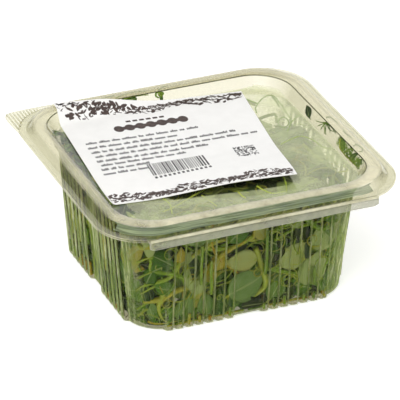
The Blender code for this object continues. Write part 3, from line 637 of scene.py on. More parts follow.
@dataclass
class RingMaker:
    """Makes rings that all have the same points, so that each joins the next one point to point."""

    flutes: tuple[int, int] = (7, 6)
    pitch: float = 4.55
    panel_half: float = 5.6
    crest_rise: float = 0.28
    shares: tuple = (0.0, 0.07, 0.14, 0.21, 0.28, 0.33, 0.5, 0.67, 0.72, 0.79, 0.86, 0.93)
    panel_edge: float = 0.35
    corner_steps: int = 20

    def side_places(self, flutes: int) -> list[tuple[float, float]]:
        """Places along one side, each with 0 in a valley and 1 on a crest."""
        places = [(self.panel_half - self.panel_edge, 0.0)]
        for index in range(flutes):
            for share in self.shares:
                crest = smooth_step(min(share, 1 - share) / self.crest_rise)
                places.append((self.panel_half + (index + share) * self.pitch, crest))
        places.append((self.panel_half + flutes * self.pitch, 0.0))
        return [(-place, crest) for place, crest in reversed(places)] + [(0.0, 0.0)] + places

    def ring(self, level: Level) -> list[Vector]:
        """Points of one ring, counter-clockwise from above.

        Args:
            level: Where the ring lies and how it is shaped.

        Returns:
            The ring's points in millimetres.
        """
        halves = (level.half, level.half - SIDE_DIFFERENCE)
        points = []
        for side in range(4):
            along, across = halves[side % 2], halves[(side + 1) % 2]
            turn = Matrix.Rotation(side * math.pi / 2, 2)
            run = []
            for place, crest in self.side_places(self.flutes[side % 2]):
                inset = level.relief * (1 - crest)
                place *= level.spread
                depth = side_depth(place, along - inset, across - inset, level.radius - inset)
                run.append(Vector((place, -depth)))
            centre = Vector((along - level.radius, level.radius - across))
            inner = level.radius - level.relief
            last = run[-1] - centre
            first = max(math.atan2(last.y, last.x), -math.pi / 2)
            following = self.side_places(self.flutes[(side + 1) % 2])[-1][0] * level.spread
            past = following - (across - level.radius)
            final = -math.asin(max(past, 0.0) / inner)
            for step in range(self.corner_steps):
                angle = first + (final - first) * (step + 0.5) / self.corner_steps
                reach = inner
                if level.square_corner and side == 2:
                    power = level.square_corner
                    spread = abs(math.cos(angle)) ** power + abs(math.sin(angle)) ** power
                    reach = inner / spread ** (1 / power)
                run.append(centre + reach * Vector((math.cos(angle), math.sin(angle))))
            points += [Vector((*(turn @ point), level.height)) for point in run]
        return points


@dataclass
class Tray:
    """The tub: a drafted, fluted wall on a sunk floor, with a rim bead, a flange and the hinge's fold."""

    rings: RingMaker = field(default_factory=RingMaker)
    sheet: float = 0.42
    rim: tuple = ((66.9, 53.95), (66.2, 53.95), (63.0, 53.95), (62.62, 54.02), (62.35, 54.2), (62.1, 54.5),
                  (60.7, 56.55), (60.5, 56.82), (60.15, 57.0), (59.0, 57.03), (57.75, 57.0), (57.4, 56.88),
                  (57.15, 56.6), (55.3, 54.05), (54.9, 53.4), (54.5, 52.8))
    relief: float = 1.7
    flute_top: float = 46.0
    fade_top: float = 50.5
    foot_bend: float = 1.2
    wall_levels: tuple = (52.2, 51.3, 50.5, 49.6, 48.7, 47.8, 46.9, 46.0, 40.0, 33.0, 26.0, 19.0, 12.0, 6.0,
                          2.5)
    bend_steps: int = 4
    fluted_top: float = 51.0
    channel: tuple = ((32.0, 0.0), (31.7, 0.12), (31.3, 0.8), (30.9, 0.9), (27.1, 0.9), (26.7, 0.8),
                      (26.3, 0.12), (26.0, 0.0), (16.0, 0.0))
    channel_radius: float = 9.0
    floor_shares: tuple[float, float] = (0.3, 0.65)
    fold_half: float = 51.0
    fold_section: tuple = ((-61.5, 53.85), (-62.8, 53.85), (-63.4, 53.75), (-63.75, 53.4), (-63.85, 52.9),
                           (-63.8, 52.2), (-63.85, 51.4), (-63.95, 50.9), (-64.1, 50.6))
    fold_columns: int = 61
    fold_sheet: float = 0.4
    fold_wave: float = 0.18
    fold_end_lift: float = 0.9
    upright: float = 0.75

    def levels(self) -> list[Level]:
        """All the rings from the flange's edge to the middle of the floor."""
        made = [Level(half, height, radius_of(half)) for half, height in self.rim]
        for height in self.wall_levels:
            half, radius = wall_at(height)
            fade = smooth_step((height - self.flute_top) / (self.fade_top - self.flute_top))
            made.append(Level(half, height, radius, self.relief * (1 - fade)))
        for step in range(self.bend_steps + 1):
            angle = math.pi / 2 * step / self.bend_steps
            half, radius = wall_at(self.foot_bend)
            inset = self.foot_bend * (1 - math.cos(angle))
            height = self.foot_bend * (1 - math.sin(angle))
            made.append(Level(half - inset, height, radius - inset, self.relief))
        half, height = self.channel[0]
        last = made[-1]
        reach = self.rings.side_places(self.rings.flutes[0])[-1][0]
        spread = (half - self.channel_radius) / reach
        for share in self.floor_shares:
            radius = last.radius + (self.channel_radius - last.radius) * share
            made.append(Level(last.half + (half - last.half) * share, height, radius,
                              self.relief * (1 - share) ** 2, 1 + (spread - 1) * share))
        for half, height in self.channel:
            radius = min(self.channel_radius, half * 0.4)
            made.append(Level(half, height, radius, 0.0, (half - SIDE_DIFFERENCE - radius) / reach))
        return made

    def build(self, material: Material, fluted: Material,
              misted: Material) -> None:
        """Builds the clear tub with its fluted wall and the hazier fold, which stand for the CAD tray."""
        shell = extrude_rings("tray_shell", [self.rings.ring(level) for level in self.levels()], material)
        apply_modifier(shell, "SOLIDIFY", thickness=self.sheet * MM, offset=1.0)
        for vertex in shell.data.vertices:
            vertex.co.z = max(vertex.co.z, 0.0)
        mark_bends(shell)
        shell.data.materials.append(fluted)
        for face in shell.data.polygons:
            upright = abs(face.normal.z) < self.upright
            face.material_index = int(upright and face.center.z < self.fluted_top * MM)
        smooth(shell, 40)
        fold = self.build_fold(misted)
        for piece in (shell, fold):
            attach(piece, "base")
            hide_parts("tray")
            LOG.info("%s: %d faces", piece.name, len(piece.data.polygons))

    def build_fold(self, material: Material) -> Object:
        """The strip under the flange's hinge edge, bent down from a leg that the flange carries."""
        points = []
        rows = len(self.fold_section)
        for column in range(self.fold_columns):
            share = 2 * column / (self.fold_columns - 1) - 1
            for row, (y, z) in enumerate(self.fold_section):
                low = smooth_step((row - 4) / (rows - 5))
                wave = self.fold_wave * math.sin(9.0 * share + 1.0) * low
                lift = self.fold_end_lift * low * smooth_step((abs(share) - 0.965) / 0.035)
                points.append((share * self.fold_half, y + wave, z + lift))
        fold = add_mesh("hinge_fold", points, grid_faces(self.fold_columns, rows), material)
        apply_modifier(fold, "SOLIDIFY", thickness=self.fold_sheet * MM, offset=0.0)
        mark_bends(fold)
        smooth(fold, 50)
        return fold


class LidFinish(Enum):
    """Which finish a face of the lid has, by its material's number."""

    # The second finish paints the studio's reflection on the panel, the third paints shade along the bead's
    # inner bend, the fourth a highlight on the crest and the fifth streaks of greens and highlights on the
    # bead's outer slope on the hinge side.
    CLEAR = 0
    MISTED = 1
    EDGE = 2
    CREST = 3
    DRAWN = 4


@dataclass
class Lid:
    """The lid: a sunk panel inside a bead that nests over the tray's rim, and a lip with a ribbed tab."""

    rings: RingMaker = field(default_factory=lambda: RingMaker(flutes=(5, 5), pitch=6.0, panel_half=2.0,
                                                               shares=(0.0, 0.5), corner_steps=28))
    sheet: float = 0.34
    outer: tuple = ((64.3, 55.2), (64.0, 55.28), (63.75, 55.5), (63.5, 55.85), (62.1, 57.5), (61.85, 57.9),
                    (61.5, 58.2), (61.0, 58.38), (60.3, 58.43), (57.8, 58.43), (57.1, 58.35), (56.75, 58.18),
                    (56.45, 57.9), (56.15, 57.48), (54.1, 54.35), (53.7, 53.75), (53.4, 53.45), (53.0, 53.27),
                    (52.4, 53.2))
    panel: tuple = (50.5, 47.0, 42.0, 36.0, 30.0, 24.0, 18.0)
    panel_wave: float = 0.16
    # Bounds of the panel's faces that get the painted reflection.
    reflection_top: float = 53.9
    reflection_left: float = -47.5
    crest: float = 57.92
    side: tuple[float, float] = (55.25, 57.9)
    hinge_side: float = -0.35
    side_end: float = 50.0
    edge_line: tuple[float, float] = (57.5, 57.88)
    edge_reach: float = 58.0
    lip: float = 55.2
    panel_height: float = 53.2
    tab_squareness: float = 9.0
    tab_reach: float = 1.3
    tab_ribs: int = 13
    rib_pitch: float = 1.55
    rib_size: tuple[float, float] = (0.75, 0.3)
    rib_start: float = 0.9
    rib_margin: float = 1.0
    rib_zone: tuple[float, float] = (16.5, 1.4)
    rib_least: float = 1.0
    rib_sink: float = 0.1

    def tab_push(self, x: float, y: float) -> float:
        """How far the tab's near edge stands out past the lip's -X edge."""
        half, radius = FLANGE
        up = min(max((y - (half - SIDE_DIFFERENCE - radius)) / radius, 0.0), 1.0)
        out = min(max((-x - half + radius) / radius, 0.0), 1.0)
        return self.tab_reach * up * out * out

    def lip_ring(self, inset: float) -> list[Vector]:
        """The lip's outline with the tab at its -X +Y corner, moved in by an inset."""
        half, radius = FLANGE
        level = Level(half - inset, self.lip, radius - inset, square_corner=self.tab_squareness)
        return [Vector((point.x - self.tab_push(point.x, point.y), point.y, point.z))
                for point in self.rings.ring(level)]

    def panel_ring(self, half: float) -> list[Vector]:
        """A ring of the sunk panel, whose thin sheet is a little wavy."""
        radius = max(half - 37.0, half * 0.3)
        points = self.rings.ring(Level(half, self.panel_height, radius, spread=half / self.panel[0]))
        for point in points:
            depth = min((self.panel[0] + 2 - half) / 10, 1.0)
            wave = math.sin(point.x / 13 + 0.7) * math.cos(point.y / 17 - 0.4)
            wave += 0.6 * math.sin(point.x / 7 - point.y / 9)
            point.z += self.panel_wave * depth * wave
        return points

    def finish_of(self, place: Vector, normal: Vector) -> LidFinish:
        """Chooses the finish of one face.

        Args:
            place: The face's middle in millimetres.
            normal: The way that it faces.

        Returns:
            Its finish.
        """
        x, y, z = place
        reach = max(abs(x), abs(y) + SIDE_DIFFERENCE)
        slope = normal.x * x + normal.y * y
        if self.side[0] < z < self.side[1] and slope > 0 and normal.y < self.hinge_side and x < self.side_end:
            return LidFinish.DRAWN
        if self.edge_line[0] < z < self.edge_line[1] and slope < 0 and reach < self.edge_reach:
            return LidFinish.EDGE
        if z > self.crest:
            return LidFinish.CREST
        if reach < self.outer[-2][0] and x > self.reflection_left and z < self.reflection_top:
            return LidFinish.MISTED
        return LidFinish.CLEAR

    def build(self, material: Material, others: Sequence[Material]) -> None:
        """Builds the lid for the CAD lid.

        Args:
            material: The clear sheet.
            others: The sheets of the other finishes, in the order of their numbers.
        """
        rings = [self.lip_ring(0.0), self.lip_ring(1.2)]
        rings += [self.rings.ring(Level(half, height, radius_of(half))) for half, height in self.outer]
        rings += [self.panel_ring(half) for half in self.panel]
        shell = extrude_rings("lid_shell", rings, material)
        apply_modifier(shell, "SOLIDIFY", thickness=self.sheet * MM, offset=-1.0)
        mark_bends(shell)
        for other in others:
            shell.data.materials.append(other)
        for face in shell.data.polygons:
            face.material_index = self.finish_of(face.center / MM, face.normal).value
        smooth(shell, 35)
        ribs = self.build_ribs(material)
        for piece in (shell, ribs):
            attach(piece, "lid")
            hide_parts("lid")
            LOG.info("%s: %d faces", piece.name, len(piece.data.polygons))

    def build_ribs(self, material: Material) -> Object:
        """Rounded ribs along Y on the tab, each a copy of one bevelled bar, cut to the tab's shape."""
        half, radius = FLANGE
        half_width = half - SIDE_DIFFERENCE
        centre = Vector((radius - half, half_width - radius))
        width, height = self.rib_size
        bars = []
        for index in range(self.tab_ribs):
            x = -half + self.rib_start + index * self.rib_pitch
            reach = radius - self.rib_margin
            start = centre.y + math.sqrt(max(reach ** 2 - (x - centre.x) ** 2, 0.0))
            start = max(start, half_width - self.rib_zone[0])
            end = half_width - self.rib_zone[1]
            if end - start < self.rib_least:
                continue
            deselect_all()
            bpy.ops.mesh.primitive_cube_add(
                size=1.0,
                location=(x * MM, (start + end) / 2 * MM, (self.lip + height / 2 - self.rib_sink) * MM),
                scale=(width * MM, (end - start) * MM, (height + 2 * self.rib_sink) * MM))
            bar = bpy.context.active_object
            bpy.ops.object.mode_set(mode="EDIT")
            bpy.ops.mesh.select_all(action="SELECT")
            bpy.ops.mesh.bevel(offset=height * 0.6 * MM, segments=2, affect="EDGES")
            bpy.ops.object.mode_set(mode="OBJECT")
            bpy.ops.object.transform_apply(location=True, rotation=True, scale=True)
            bars.append(bar)
        deselect_all()
        for bar in bars:
            bar.select_set(True)
        bpy.context.view_layer.objects.active = bars[0]
        bpy.ops.object.join()
        ribs = bpy.context.active_object
        bpy.context.scene.cursor.location = ORIGIN
        bpy.ops.object.origin_set(type="ORIGIN_CURSOR")
        ribs.name = ribs.data.name = "tab_ribs"
        ribs.data.materials.clear()
        ribs.data.materials.append(material)
        smooth(ribs, 60)
        return ribs


@dataclass
class HingeWeb:
    """The thin bend that joins the flange's edge to the lid's lip along the hinge."""

    half: float = 50.8
    columns: int = 61
    steps: int = 10
    low: tuple[float, float] = (-63.9, 54.0)
    high: tuple[float, float] = (-64.0, 55.1)
    bulge: float = 0.75
    sheet: float = 0.16

    def build(self, material: Material) -> None:
        """Builds the web and bends it across the hinge."""
        points = []
        low, high = Vector(self.low), Vector(self.high)
        for column in range(self.columns):
            x = self.half * (2 * column / (self.columns - 1) - 1)
            for step in range(self.steps + 1):
                share = step / self.steps
                place = low.lerp(high, share)
                points.append((x, place.x - self.bulge * math.sin(math.pi * share), place.y))
        web = add_mesh("hinge_web", points, grid_faces(self.columns, self.steps + 1), material)
        apply_modifier(web, "SOLIDIFY", thickness=self.sheet * MM, offset=0.0)
        smooth(web, 60)
        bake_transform(web)
        LOG.info("%s: %d faces", web.name, len(web.data.polygons))


# The label and its print


@dataclass
class Label:
    """The paper label that lies askew in the lid's recess, with one corner over the bead."""

    back: tuple = ((-46.4, 58.0), (37.1, 47.5))
    front: tuple = ((-53.4, -27.0), (26.2, -36.6))
    paper: float = 0.14
    low: float = 53.7
    high: float = 59.2
    fold: tuple = ((-46.6, 46.0), (12.0, 49.3))
    fold_width: float = 7.0
    side_climb: tuple[float, float] = (51.3, 57.1)
    dip: float = 2.0
    lift: float = 3.0
    steps: int = 72
    seed: int = 5
    band_leaves: int = 300
    band_margin: float = 0.004
    ink_height: float = 0.05

    def place(self, across: float, down: float, above: float = 0.0) -> Vector:
        """A point on the bent paper.

        Args:
            across: Its share of the way from the paper's left edge to the right one.
            down: Its share of the way from the paper's back edge to the front one.
            above: Its height above the paper.

        Returns:
            The point in millimetres.
        """
        back, front = (Vector(left).lerp(Vector(right), across) for left, right in (self.back, self.front))
        flat = back.lerp(front, down)
        flat.y -= self.dip * math.sin(math.pi * min(across / 0.75, 1.0)) * (1 - down) ** 4
        start, end = (Vector(corner) for corner in self.fold)
        way = (end - start).normalized()
        past_fold = (flat - start).dot(Vector((-way.y, way.x))) / self.fold_width
        past_side = (-flat.x - self.side_climb[0]) / (self.side_climb[1] - self.side_climb[0])
        climb = 1 - (1 - smooth_step(past_fold)) * (1 - smooth_step(past_side))
        height = self.low + (self.high - self.low) * climb
        lift = self.lift * smooth_step((down - 0.55) / 0.45) * smooth_step((across - 0.15) / 0.6)
        ripple = 0.12 * math.sin(5.0 * across + 4.0 * down) * smooth_step(down * 4) * (1 - climb)
        return Vector((flat.x, flat.y, height + lift * (1 - climb) + ripple + above))

    def build(self, paper: Material, brown: Material, black: Material) -> None:
        """Builds the paper and its print, which stand for the CAD label."""
        points = [self.place(column / self.steps, row / self.steps)
                  for row in range(self.steps + 1) for column in range(self.steps + 1)]
        sheet = add_mesh("label_sheet", points, grid_faces(self.steps + 1, self.steps + 1), paper)
        apply_modifier(sheet, "SOLIDIFY", thickness=self.paper * MM, offset=-1.0)
        smooth(sheet, 40)
        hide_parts("label")
        print_brown = self.build_print("label_print_brown", self.leaf_bands() + self.pea_row(), brown)
        print_black = self.build_print("label_print_black", self.rows() + self.bars() + self.matrix(), black)
        for piece in (sheet, print_brown, print_black):
            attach(piece, "lid")
            LOG.info("%s: %d faces", piece.name, len(piece.data.polygons))

    def build_print(self, name: str, shapes: list, material: Material) -> Object:
        """Lays flat printed shapes on the paper.

        Args:
            name: The piece's name.
            shapes: Outlines of points that are shares across and down the paper.
            material: The ink.

        Returns:
            The printed piece.
        """
        points, faces = [], []
        for outline in shapes:
            start = len(points)
            points += [self.place(across, down, self.ink_height) for across, down in outline]
            faces.append(tuple(range(start, len(points))))
        piece = add_mesh(name, points, faces, material)
        shell = bmesh.new()
        shell.from_mesh(piece.data)
        for face in shell.faces:
            if face.normal.z < 0:
                face.normal_flip()
        shell.to_mesh(piece.data)
        shell.free()
        return piece

    @staticmethod
    def box(across: float, down: float, width: float, height: float, slope: float = 0.0) -> list:
        """Corners of a printed rectangle, by shares of the paper, with its top rising to the right."""
        rise = slope * width
        return [(across, down), (across, down + height), (across + width, down + height - rise),
                (across + width, down - rise)]

    @staticmethod
    def leaf(across: float, down: float, length: float, breadth: float, angle: float) -> list:
        """Outline of one small printed leaf around its middle."""
        outline = []
        for index in range(8):
            turn = 2 * math.pi * index / 8
            x, y = length / 2 * math.cos(turn), breadth / 2 * math.sin(turn) * (1 - 0.35 * math.cos(turn))
            outline.append((across + x * math.cos(angle) - y * math.sin(angle),
                            down + x * math.sin(angle) + y * math.cos(angle)))
        return outline

    def leaf_bands(self) -> list:
        """Two bands of small crossed leaves and stalks, along the paper's back and front edges."""
        draw = random.Random(self.seed)
        shapes = []
        for edge, inward in ((0.0, 1), (1.0, -1)):
            for index in range(self.band_leaves):
                across = 0.012 + 0.976 * (index + draw.random()) / self.band_leaves
                depth = 0.012 + 0.062 * draw.random() ** 1.2 * (1.0 + 0.3 * math.sin(across * 17))
                length = draw.uniform(0.02, 0.042)
                breadth = draw.choice((0.004, 0.007, 0.011, 0.015))
                angle = draw.choice((-1, 1)) * draw.uniform(0.1, 1.1)
                shapes.append(self.leaf(across, edge + inward * (depth + 0.008), length, breadth, angle))
        low, high = self.band_margin, 1 - self.band_margin
        return [[(min(max(x, low), high), min(max(y, low), high)) for x, y in shape] for shape in shapes]

    def pea_row(self) -> list:
        """A plain row of peas, large and small, under a row of dashes, where a title would be."""
        shapes = [self.box(0.33 + 0.036 * index, 0.158 - 0.001 * index, 0.025, 0.018, 0.02)
                  for index in range(6)]
        for index in range(13):
            across, down = 0.275 + index * 0.029, 0.24 - 0.002 * index
            size = 0.014 if index % 2 else 0.027
            shapes.append([(across + size * math.cos(turn), down + 1.25 * size * math.sin(turn))
                           for turn in (2 * math.pi * step / 16 for step in range(16))])
        return shapes

    def rows(self) -> list:
        """Rows of unreadable short blocks, with gaps where words would end."""
        draw = random.Random(self.seed + 1)
        layout = ((0.065, 0.355, 0.61), (0.062, 0.406, 0.49), (0.065, 0.456, 0.79), (0.072, 0.502, 0.89),
                  (0.066, 0.552, 0.6), (0.075, 0.594, 0.45), (0.064, 0.64, 0.2), (0.06, 0.686, 0.19))
        shapes = []
        for across, down, width in layout:
            place = across
            while place < across + width:
                for _ in range(draw.randint(3, 8)):
                    size = draw.uniform(0.006, 0.011)
                    tall = draw.choice((0.019, 0.019, 0.026))
                    rise = 0.065 * (place - across)
                    shapes.append(self.box(place, down - rise + 0.019 - tall, size * 0.76, tall * 0.86, 0.06))
                    place += size
                place += 0.012
        return shapes

    def bars(self) -> list:
        """A block of upright bars of uneven width, which no reader could read."""
        draw = random.Random(self.seed + 2)
        shapes, place = [], 0.3
        while place < 0.6:
            width = draw.choice((0.0042, 0.0042, 0.0062, 0.009))
            shapes.append(self.box(place, 0.645 - 0.06 * (place - 0.3), width, 0.125, 0.06))
            place += width + draw.choice((0.0042, 0.0056, 0.008))
        return shapes + [self.box(0.302 + 0.0245 * index, 0.783 - 0.0015 * index, 0.013, 0.02, 0.06)
                         for index in range(13)]

    def matrix(self) -> list:
        """A square of scattered small blocks without any reader's marks."""
        draw = random.Random(self.seed + 3)
        cells, size = 17, 0.0066
        return [self.box(0.778 + size * column, 0.588 + size * row * 1.06, size * 0.96, size * 0.96 * 1.06)
                for row in range(cells) for column in range(cells) if draw.random() < 0.5]


# The shoots


class Row(Enum):
    """Which third of the tray a shoot lies in, from the hinge side to the back."""

    FRONT = 0
    MIDDLE = 1
    BACK = 2


class Layer(Enum):
    """Whether a shoot lies in the lower or the upper half of the tray."""

    LOW = 0
    HIGH = 1


class Side(Enum):
    """Whether a shoot lies on the -X or the +X side."""

    LEFT = -1
    RIGHT = 1


class Shoot(NamedTuple):
    """One pea shoot: its cell in the tray, its stem's route and the way that its leaves face."""

    row: Row
    layer: Layer
    side: Side
    face: tuple
    route: tuple


SHOOTS = {
    "shoot_front_low_left": Shoot(Row.FRONT, Layer.LOW, Side.LEFT, (-0.15, -1, 0.25), (
        (-42, -36, 19), (-43, -42, 6), (-31, -44, 4), (-18, -42, 8), (-10, -38, 17))),
    "shoot_front_low_right": Shoot(Row.FRONT, Layer.LOW, Side.RIGHT, (0.1, -1, 0.25), (
        (9, -45, 6), (17, -45, 11), (15, -43, 20), (26, -38, 17), (38, -36, 11))),
    "shoot_front_high_left": Shoot(Row.FRONT, Layer.HIGH, Side.LEFT, (-0.1, -1, 0.35), (
        (-46, -34, 32), (-41, -42, 43), (-27, -40, 40), (-12, -36, 36), (0, -38, 44))),
    "shoot_front_high_right": Shoot(Row.FRONT, Layer.HIGH, Side.RIGHT, (0.1, -1, 0.45), (
        (46, -30, 46), (44, -42, 36), (36, -38, 33), (28, -34, 38), (21, -38, 44))),
    "shoot_middle_low_left": Shoot(Row.MIDDLE, Layer.LOW, Side.LEFT, (-1, -0.2, 0.3), (
        (-2, -6, 9), (-15, 6, 13), (-29, -4, 9), (-40, -9, 13), (-45, 2, 20))),
    "shoot_middle_low_right": Shoot(Row.MIDDLE, Layer.LOW, Side.RIGHT, (0.8, -0.2, 0.5), (
        (8, 8, 9), (20, -6, 12), (32, 6, 9), (42, 4, 14), (45, -8, 19))),
    "shoot_middle_high_left": Shoot(Row.MIDDLE, Layer.HIGH, Side.LEFT, (-0.3, -0.2, 1), (
        (-47, 10, 34), (-42, -4, 40), (-33, 6, 44), (-25, -5, 44), (-19, 4, 42))),
    "shoot_middle_high_right": Shoot(Row.MIDDLE, Layer.HIGH, Side.RIGHT, (0.2, -0.1, 1), (
        (47, -8, 36), (38, 6, 43), (24, -5, 45), (10, 4, 43), (-2, -4, 45))),
    "shoot_back_low_left": Shoot(Row.BACK, Layer.LOW, Side.LEFT, (-0.6, 0.8, 0.3), (
        (-8, 38, 8), (-20, 30, 12), (-32, 40, 10), (-43, 32, 14), (-44, 22, 20))),
    "shoot_back_low_right": Shoot(Row.BACK, Layer.LOW, Side.RIGHT, (0.5, 0.9, 0.3), (
        (0, 28, 8), (12, 38, 11), (26, 30, 9), (38, 38, 13), (44, 24, 19))),
    "shoot_back_high_left": Shoot(Row.BACK, Layer.HIGH, Side.LEFT, (-0.2, 0.4, 1), (
        (-46, 20, 36), (-42, 34, 43), (-28, 40, 44), (-14, 32, 42), (0, 40, 46))),
    "shoot_back_high_right": Shoot(Row.BACK, Layer.HIGH, Side.RIGHT, (0.5, 0.3, 1), (
        (46, 18, 36), (43, 34, 42), (33, 40, 44), (25, 31, 44), (18, 38, 43))),
}


@dataclass(frozen=True)
class Room:
    """The space inside the tray, cut into one cell for each shoot by wavy edges."""

    wall_inset: float = 3.0
    floor: float = 1.7
    ceiling: float = 52.3
    row_edges: tuple[float, float] = (-15.0, 15.0)
    row_wave: float = 3.0
    layer_edge: float = 26.0
    layer_wave: float = 4.5
    side_slant: float = 0.3
    side_edges: tuple = ((-3.0, 8.0), (6.0, -7.0), (-6.0, 5.0))
    soft: float = 5.0
    half_gap: float = 0.25
    far: float = 134.0

    @staticmethod
    def outline_distance(x: float, y: float, half: float, radius: float) -> tuple[float, float, float]:
        """Signed distance from a rounded rectangle to a point, and the way outwards there."""
        qx, qy = abs(x) - (half - radius), abs(y) - (half - SIDE_DIFFERENCE - radius)
        if qx > 0 and qy > 0:
            length = math.hypot(qx, qy)
            return length - radius, math.copysign(qx / length, x), math.copysign(qy / length, y)
        if qx > qy:
            return qx - radius, math.copysign(1.0, x), 0.0
        return qy - radius, 0.0, math.copysign(1.0, y)

    def squeeze(self, value: float, low: float, high: float) -> float:
        """Bends a coordinate into a range, and changes it only near the range's ends."""
        soft = min(self.soft, (high - low) / 2)
        if value < low + soft:
            return low + soft - soft * math.tanh((low + soft - value) / soft)
        if value > high - soft:
            return high - soft + soft * math.tanh((value - high + soft) / soft)
        return value

    def layer_range(self, shoot: Shoot, x: float, y: float) -> tuple[float, float]:
        """Lowest and highest Z of a shoot's cell over a point of the floor."""
        edge = self.layer_edge + self.layer_wave * math.sin(x / 14 + 1.7 * shoot.row.value)
        edge += 2 * math.sin(y / 9)
        return (self.floor, edge) if shoot.layer is Layer.LOW else (edge, self.ceiling)

    def clear_of_wall(self, x: float, y: float, z: float, room: float) -> tuple[float, float]:
        """Bends X and Y clear of the tray's wall."""
        half, radius = wall_at(z)
        distance, out_x, out_y = self.outline_distance(x, y, half - self.wall_inset, radius - self.wall_inset)
        if distance > -self.soft - room:
            past = distance + self.soft + room
            shift = past - self.soft * math.tanh(past / self.soft)
            x, y = x - out_x * shift, y - out_y * shift
        return x, y

    def confine(self, point: Vector, shoot: Shoot, margin: float) -> Vector:
        """Bends a point clear of the walls, the floor, the lid and the neighbouring shoots.

        Args:
            point: The wanted place.
            shoot: The shoot whose cell it stays in.
            margin: Half the thickness of what is there.

        Returns:
            The place inside the cell.
        """
        x, y, z = point
        room = margin + self.half_gap
        low, high = self.layer_range(shoot, x, y)
        z = self.squeeze(z, low + room, high - room)
        x, y = self.clear_of_wall(x, y, z, room)
        slant = self.side_slant * (z - self.layer_edge)
        slant *= 1 if (shoot.row.value + shoot.layer.value) % 2 else -1
        side_edge = self.side_edges[shoot.row.value][shoot.layer.value] + slant
        if shoot.side is Side.LEFT:
            x = self.squeeze(x, -self.far, side_edge - room)
        else:
            x = self.squeeze(x, side_edge + room, self.far)
        edges = [edge + self.row_wave * math.sin(x / 15 + 2 * index)
                 for index, edge in enumerate(self.row_edges)]
        behind = -self.far if shoot.row is Row.FRONT else edges[shoot.row.value - 1] + room
        ahead = self.far if shoot.row is Row.BACK else edges[shoot.row.value] - room
        y = self.squeeze(y, behind, ahead)
        low, high = self.layer_range(shoot, x, y)
        return Vector((x, y, self.squeeze(z, low + room, high - room)))

    def confine_loosely(self, point: Vector, margin: float) -> Vector:
        """Bends a point clear of the tray and the lid only, for the loose greens between the shoots."""
        x, y, z = point
        room = margin + self.half_gap
        z = self.squeeze(z, self.floor + room, self.ceiling - room)
        x, y = self.clear_of_wall(x, y, z, room)
        return Vector((x, y, z))


def curve_point(knots: Sequence[Vector], share: float) -> Vector:
    """A point on a smooth curve through the knots, by share of its way."""
    span = share * (len(knots) - 1)
    index = min(int(span), len(knots) - 2)
    t = span - index
    before = knots[index - 1] if index else 2 * knots[0] - knots[1]
    after = knots[index + 2] if index + 2 < len(knots) else 2 * knots[-1] - knots[-2]
    start, end = knots[index], knots[index + 1]
    return 0.5 * (2 * start + (end - before) * t + (2 * before - 5 * start + 4 * end - after) * t * t
                  + (3 * start - before - 3 * end + after) * t ** 3)


def trace(knots: Sequence[Vector], steps: int) -> list[Vector]:
    """Evenly spread points on a smooth curve through the knots."""
    return [curve_point(knots, index / steps) for index in range(steps + 1)]


def leaf_half(share: float, rounded: float = 0.75, base: float = 0.1) -> float:
    """Half breadth of an ovate leaf at a share of its length, as a share of its greatest half breadth."""
    return base * (1 - share) + math.sin(math.pi * share ** rounded) ** 0.85


@dataclass
class Greenery:
    """Points and faces of one piece's leaves and stems, with the tone of each point."""

    points: list = field(default_factory=list)
    faces: list = field(default_factory=list)
    tones: list = field(default_factory=list)
    maps: list = field(default_factory=list)

    def add(self, points: list, faces: list, tone: float, maps: list) -> None:
        """Adds one leaf or stem.

        Args:
            points: Its points in millimetres.
            faces: Its faces, by its own points' numbers.
            tone: Its place on the material's ramp.
            maps: Across and along of each point, from 0 to 1.
        """
        start = len(self.points)
        self.points += points
        self.faces += [tuple(start + index for index in face) for face in faces]
        self.tones += [tone] * len(points)
        self.maps += maps

    def add_tube(self, centres: Sequence[Vector], radii: Sequence[float], sides: int, tone: float) -> None:
        """Adds a tube along a line of points, each with its radius."""
        points, faces, maps = tube(centres, radii, sides)
        self.add(points, faces, tone, maps)

    def build(self, name: str, material: Material) -> Object:
        """Makes the piece, with its tones as an attribute and its places across and along as UVs."""
        item = add_mesh(name, self.points, self.faces, material)
        tone = item.data.attributes.new("tone", "FLOAT", "POINT")
        tone.data.foreach_set("value", self.tones)
        layer = item.data.uv_layers.new(name="UVMap")
        corners = np.zeros(len(item.data.loops), dtype=np.int32)
        item.data.loops.foreach_get("vertex_index", corners)
        layer.data.foreach_set("uv", np.array(self.maps, dtype=np.float32)[corners].ravel())
        return item


def tube(centres: Sequence[Vector], radii: Sequence[float], sides: int) -> tuple[list, list, list]:
    """A closed tube around a line of points, its section carried along without twist.

    Args:
        centres: Points of the centre line.
        radii: The tube's radius at each of them.
        sides: Sides of its section.

    Returns:
        The points, the faces, and across and along of each point.
    """
    points, faces, maps = [], [], []
    count = len(centres)
    tangents = [(centres[min(i + 1, count - 1)] - centres[max(i - 1, 0)]).normalized() for i in range(count)]
    normal = tangents[0].orthogonal().normalized()
    for index, centre in enumerate(centres):
        tangent = tangents[index]
        normal = (normal - tangent * normal.dot(tangent)).normalized()
        other = tangent.cross(normal)
        for side in range(sides):
            angle = 2 * math.pi * side / sides
            points.append(centre + radii[index] * (normal * math.cos(angle) + other * math.sin(angle)))
            maps.append((side / sides, index / (count - 1)))
    for index in range(count - 1):
        for side in range(sides):
            a, b = index * sides + side, index * sides + (side + 1) % sides
            faces.append((a, b, b + sides, a + sides))
    faces.append(tuple(reversed(range(sides))))
    faces.append(tuple(range((count - 1) * sides, count * sides)))
    return points, faces, maps


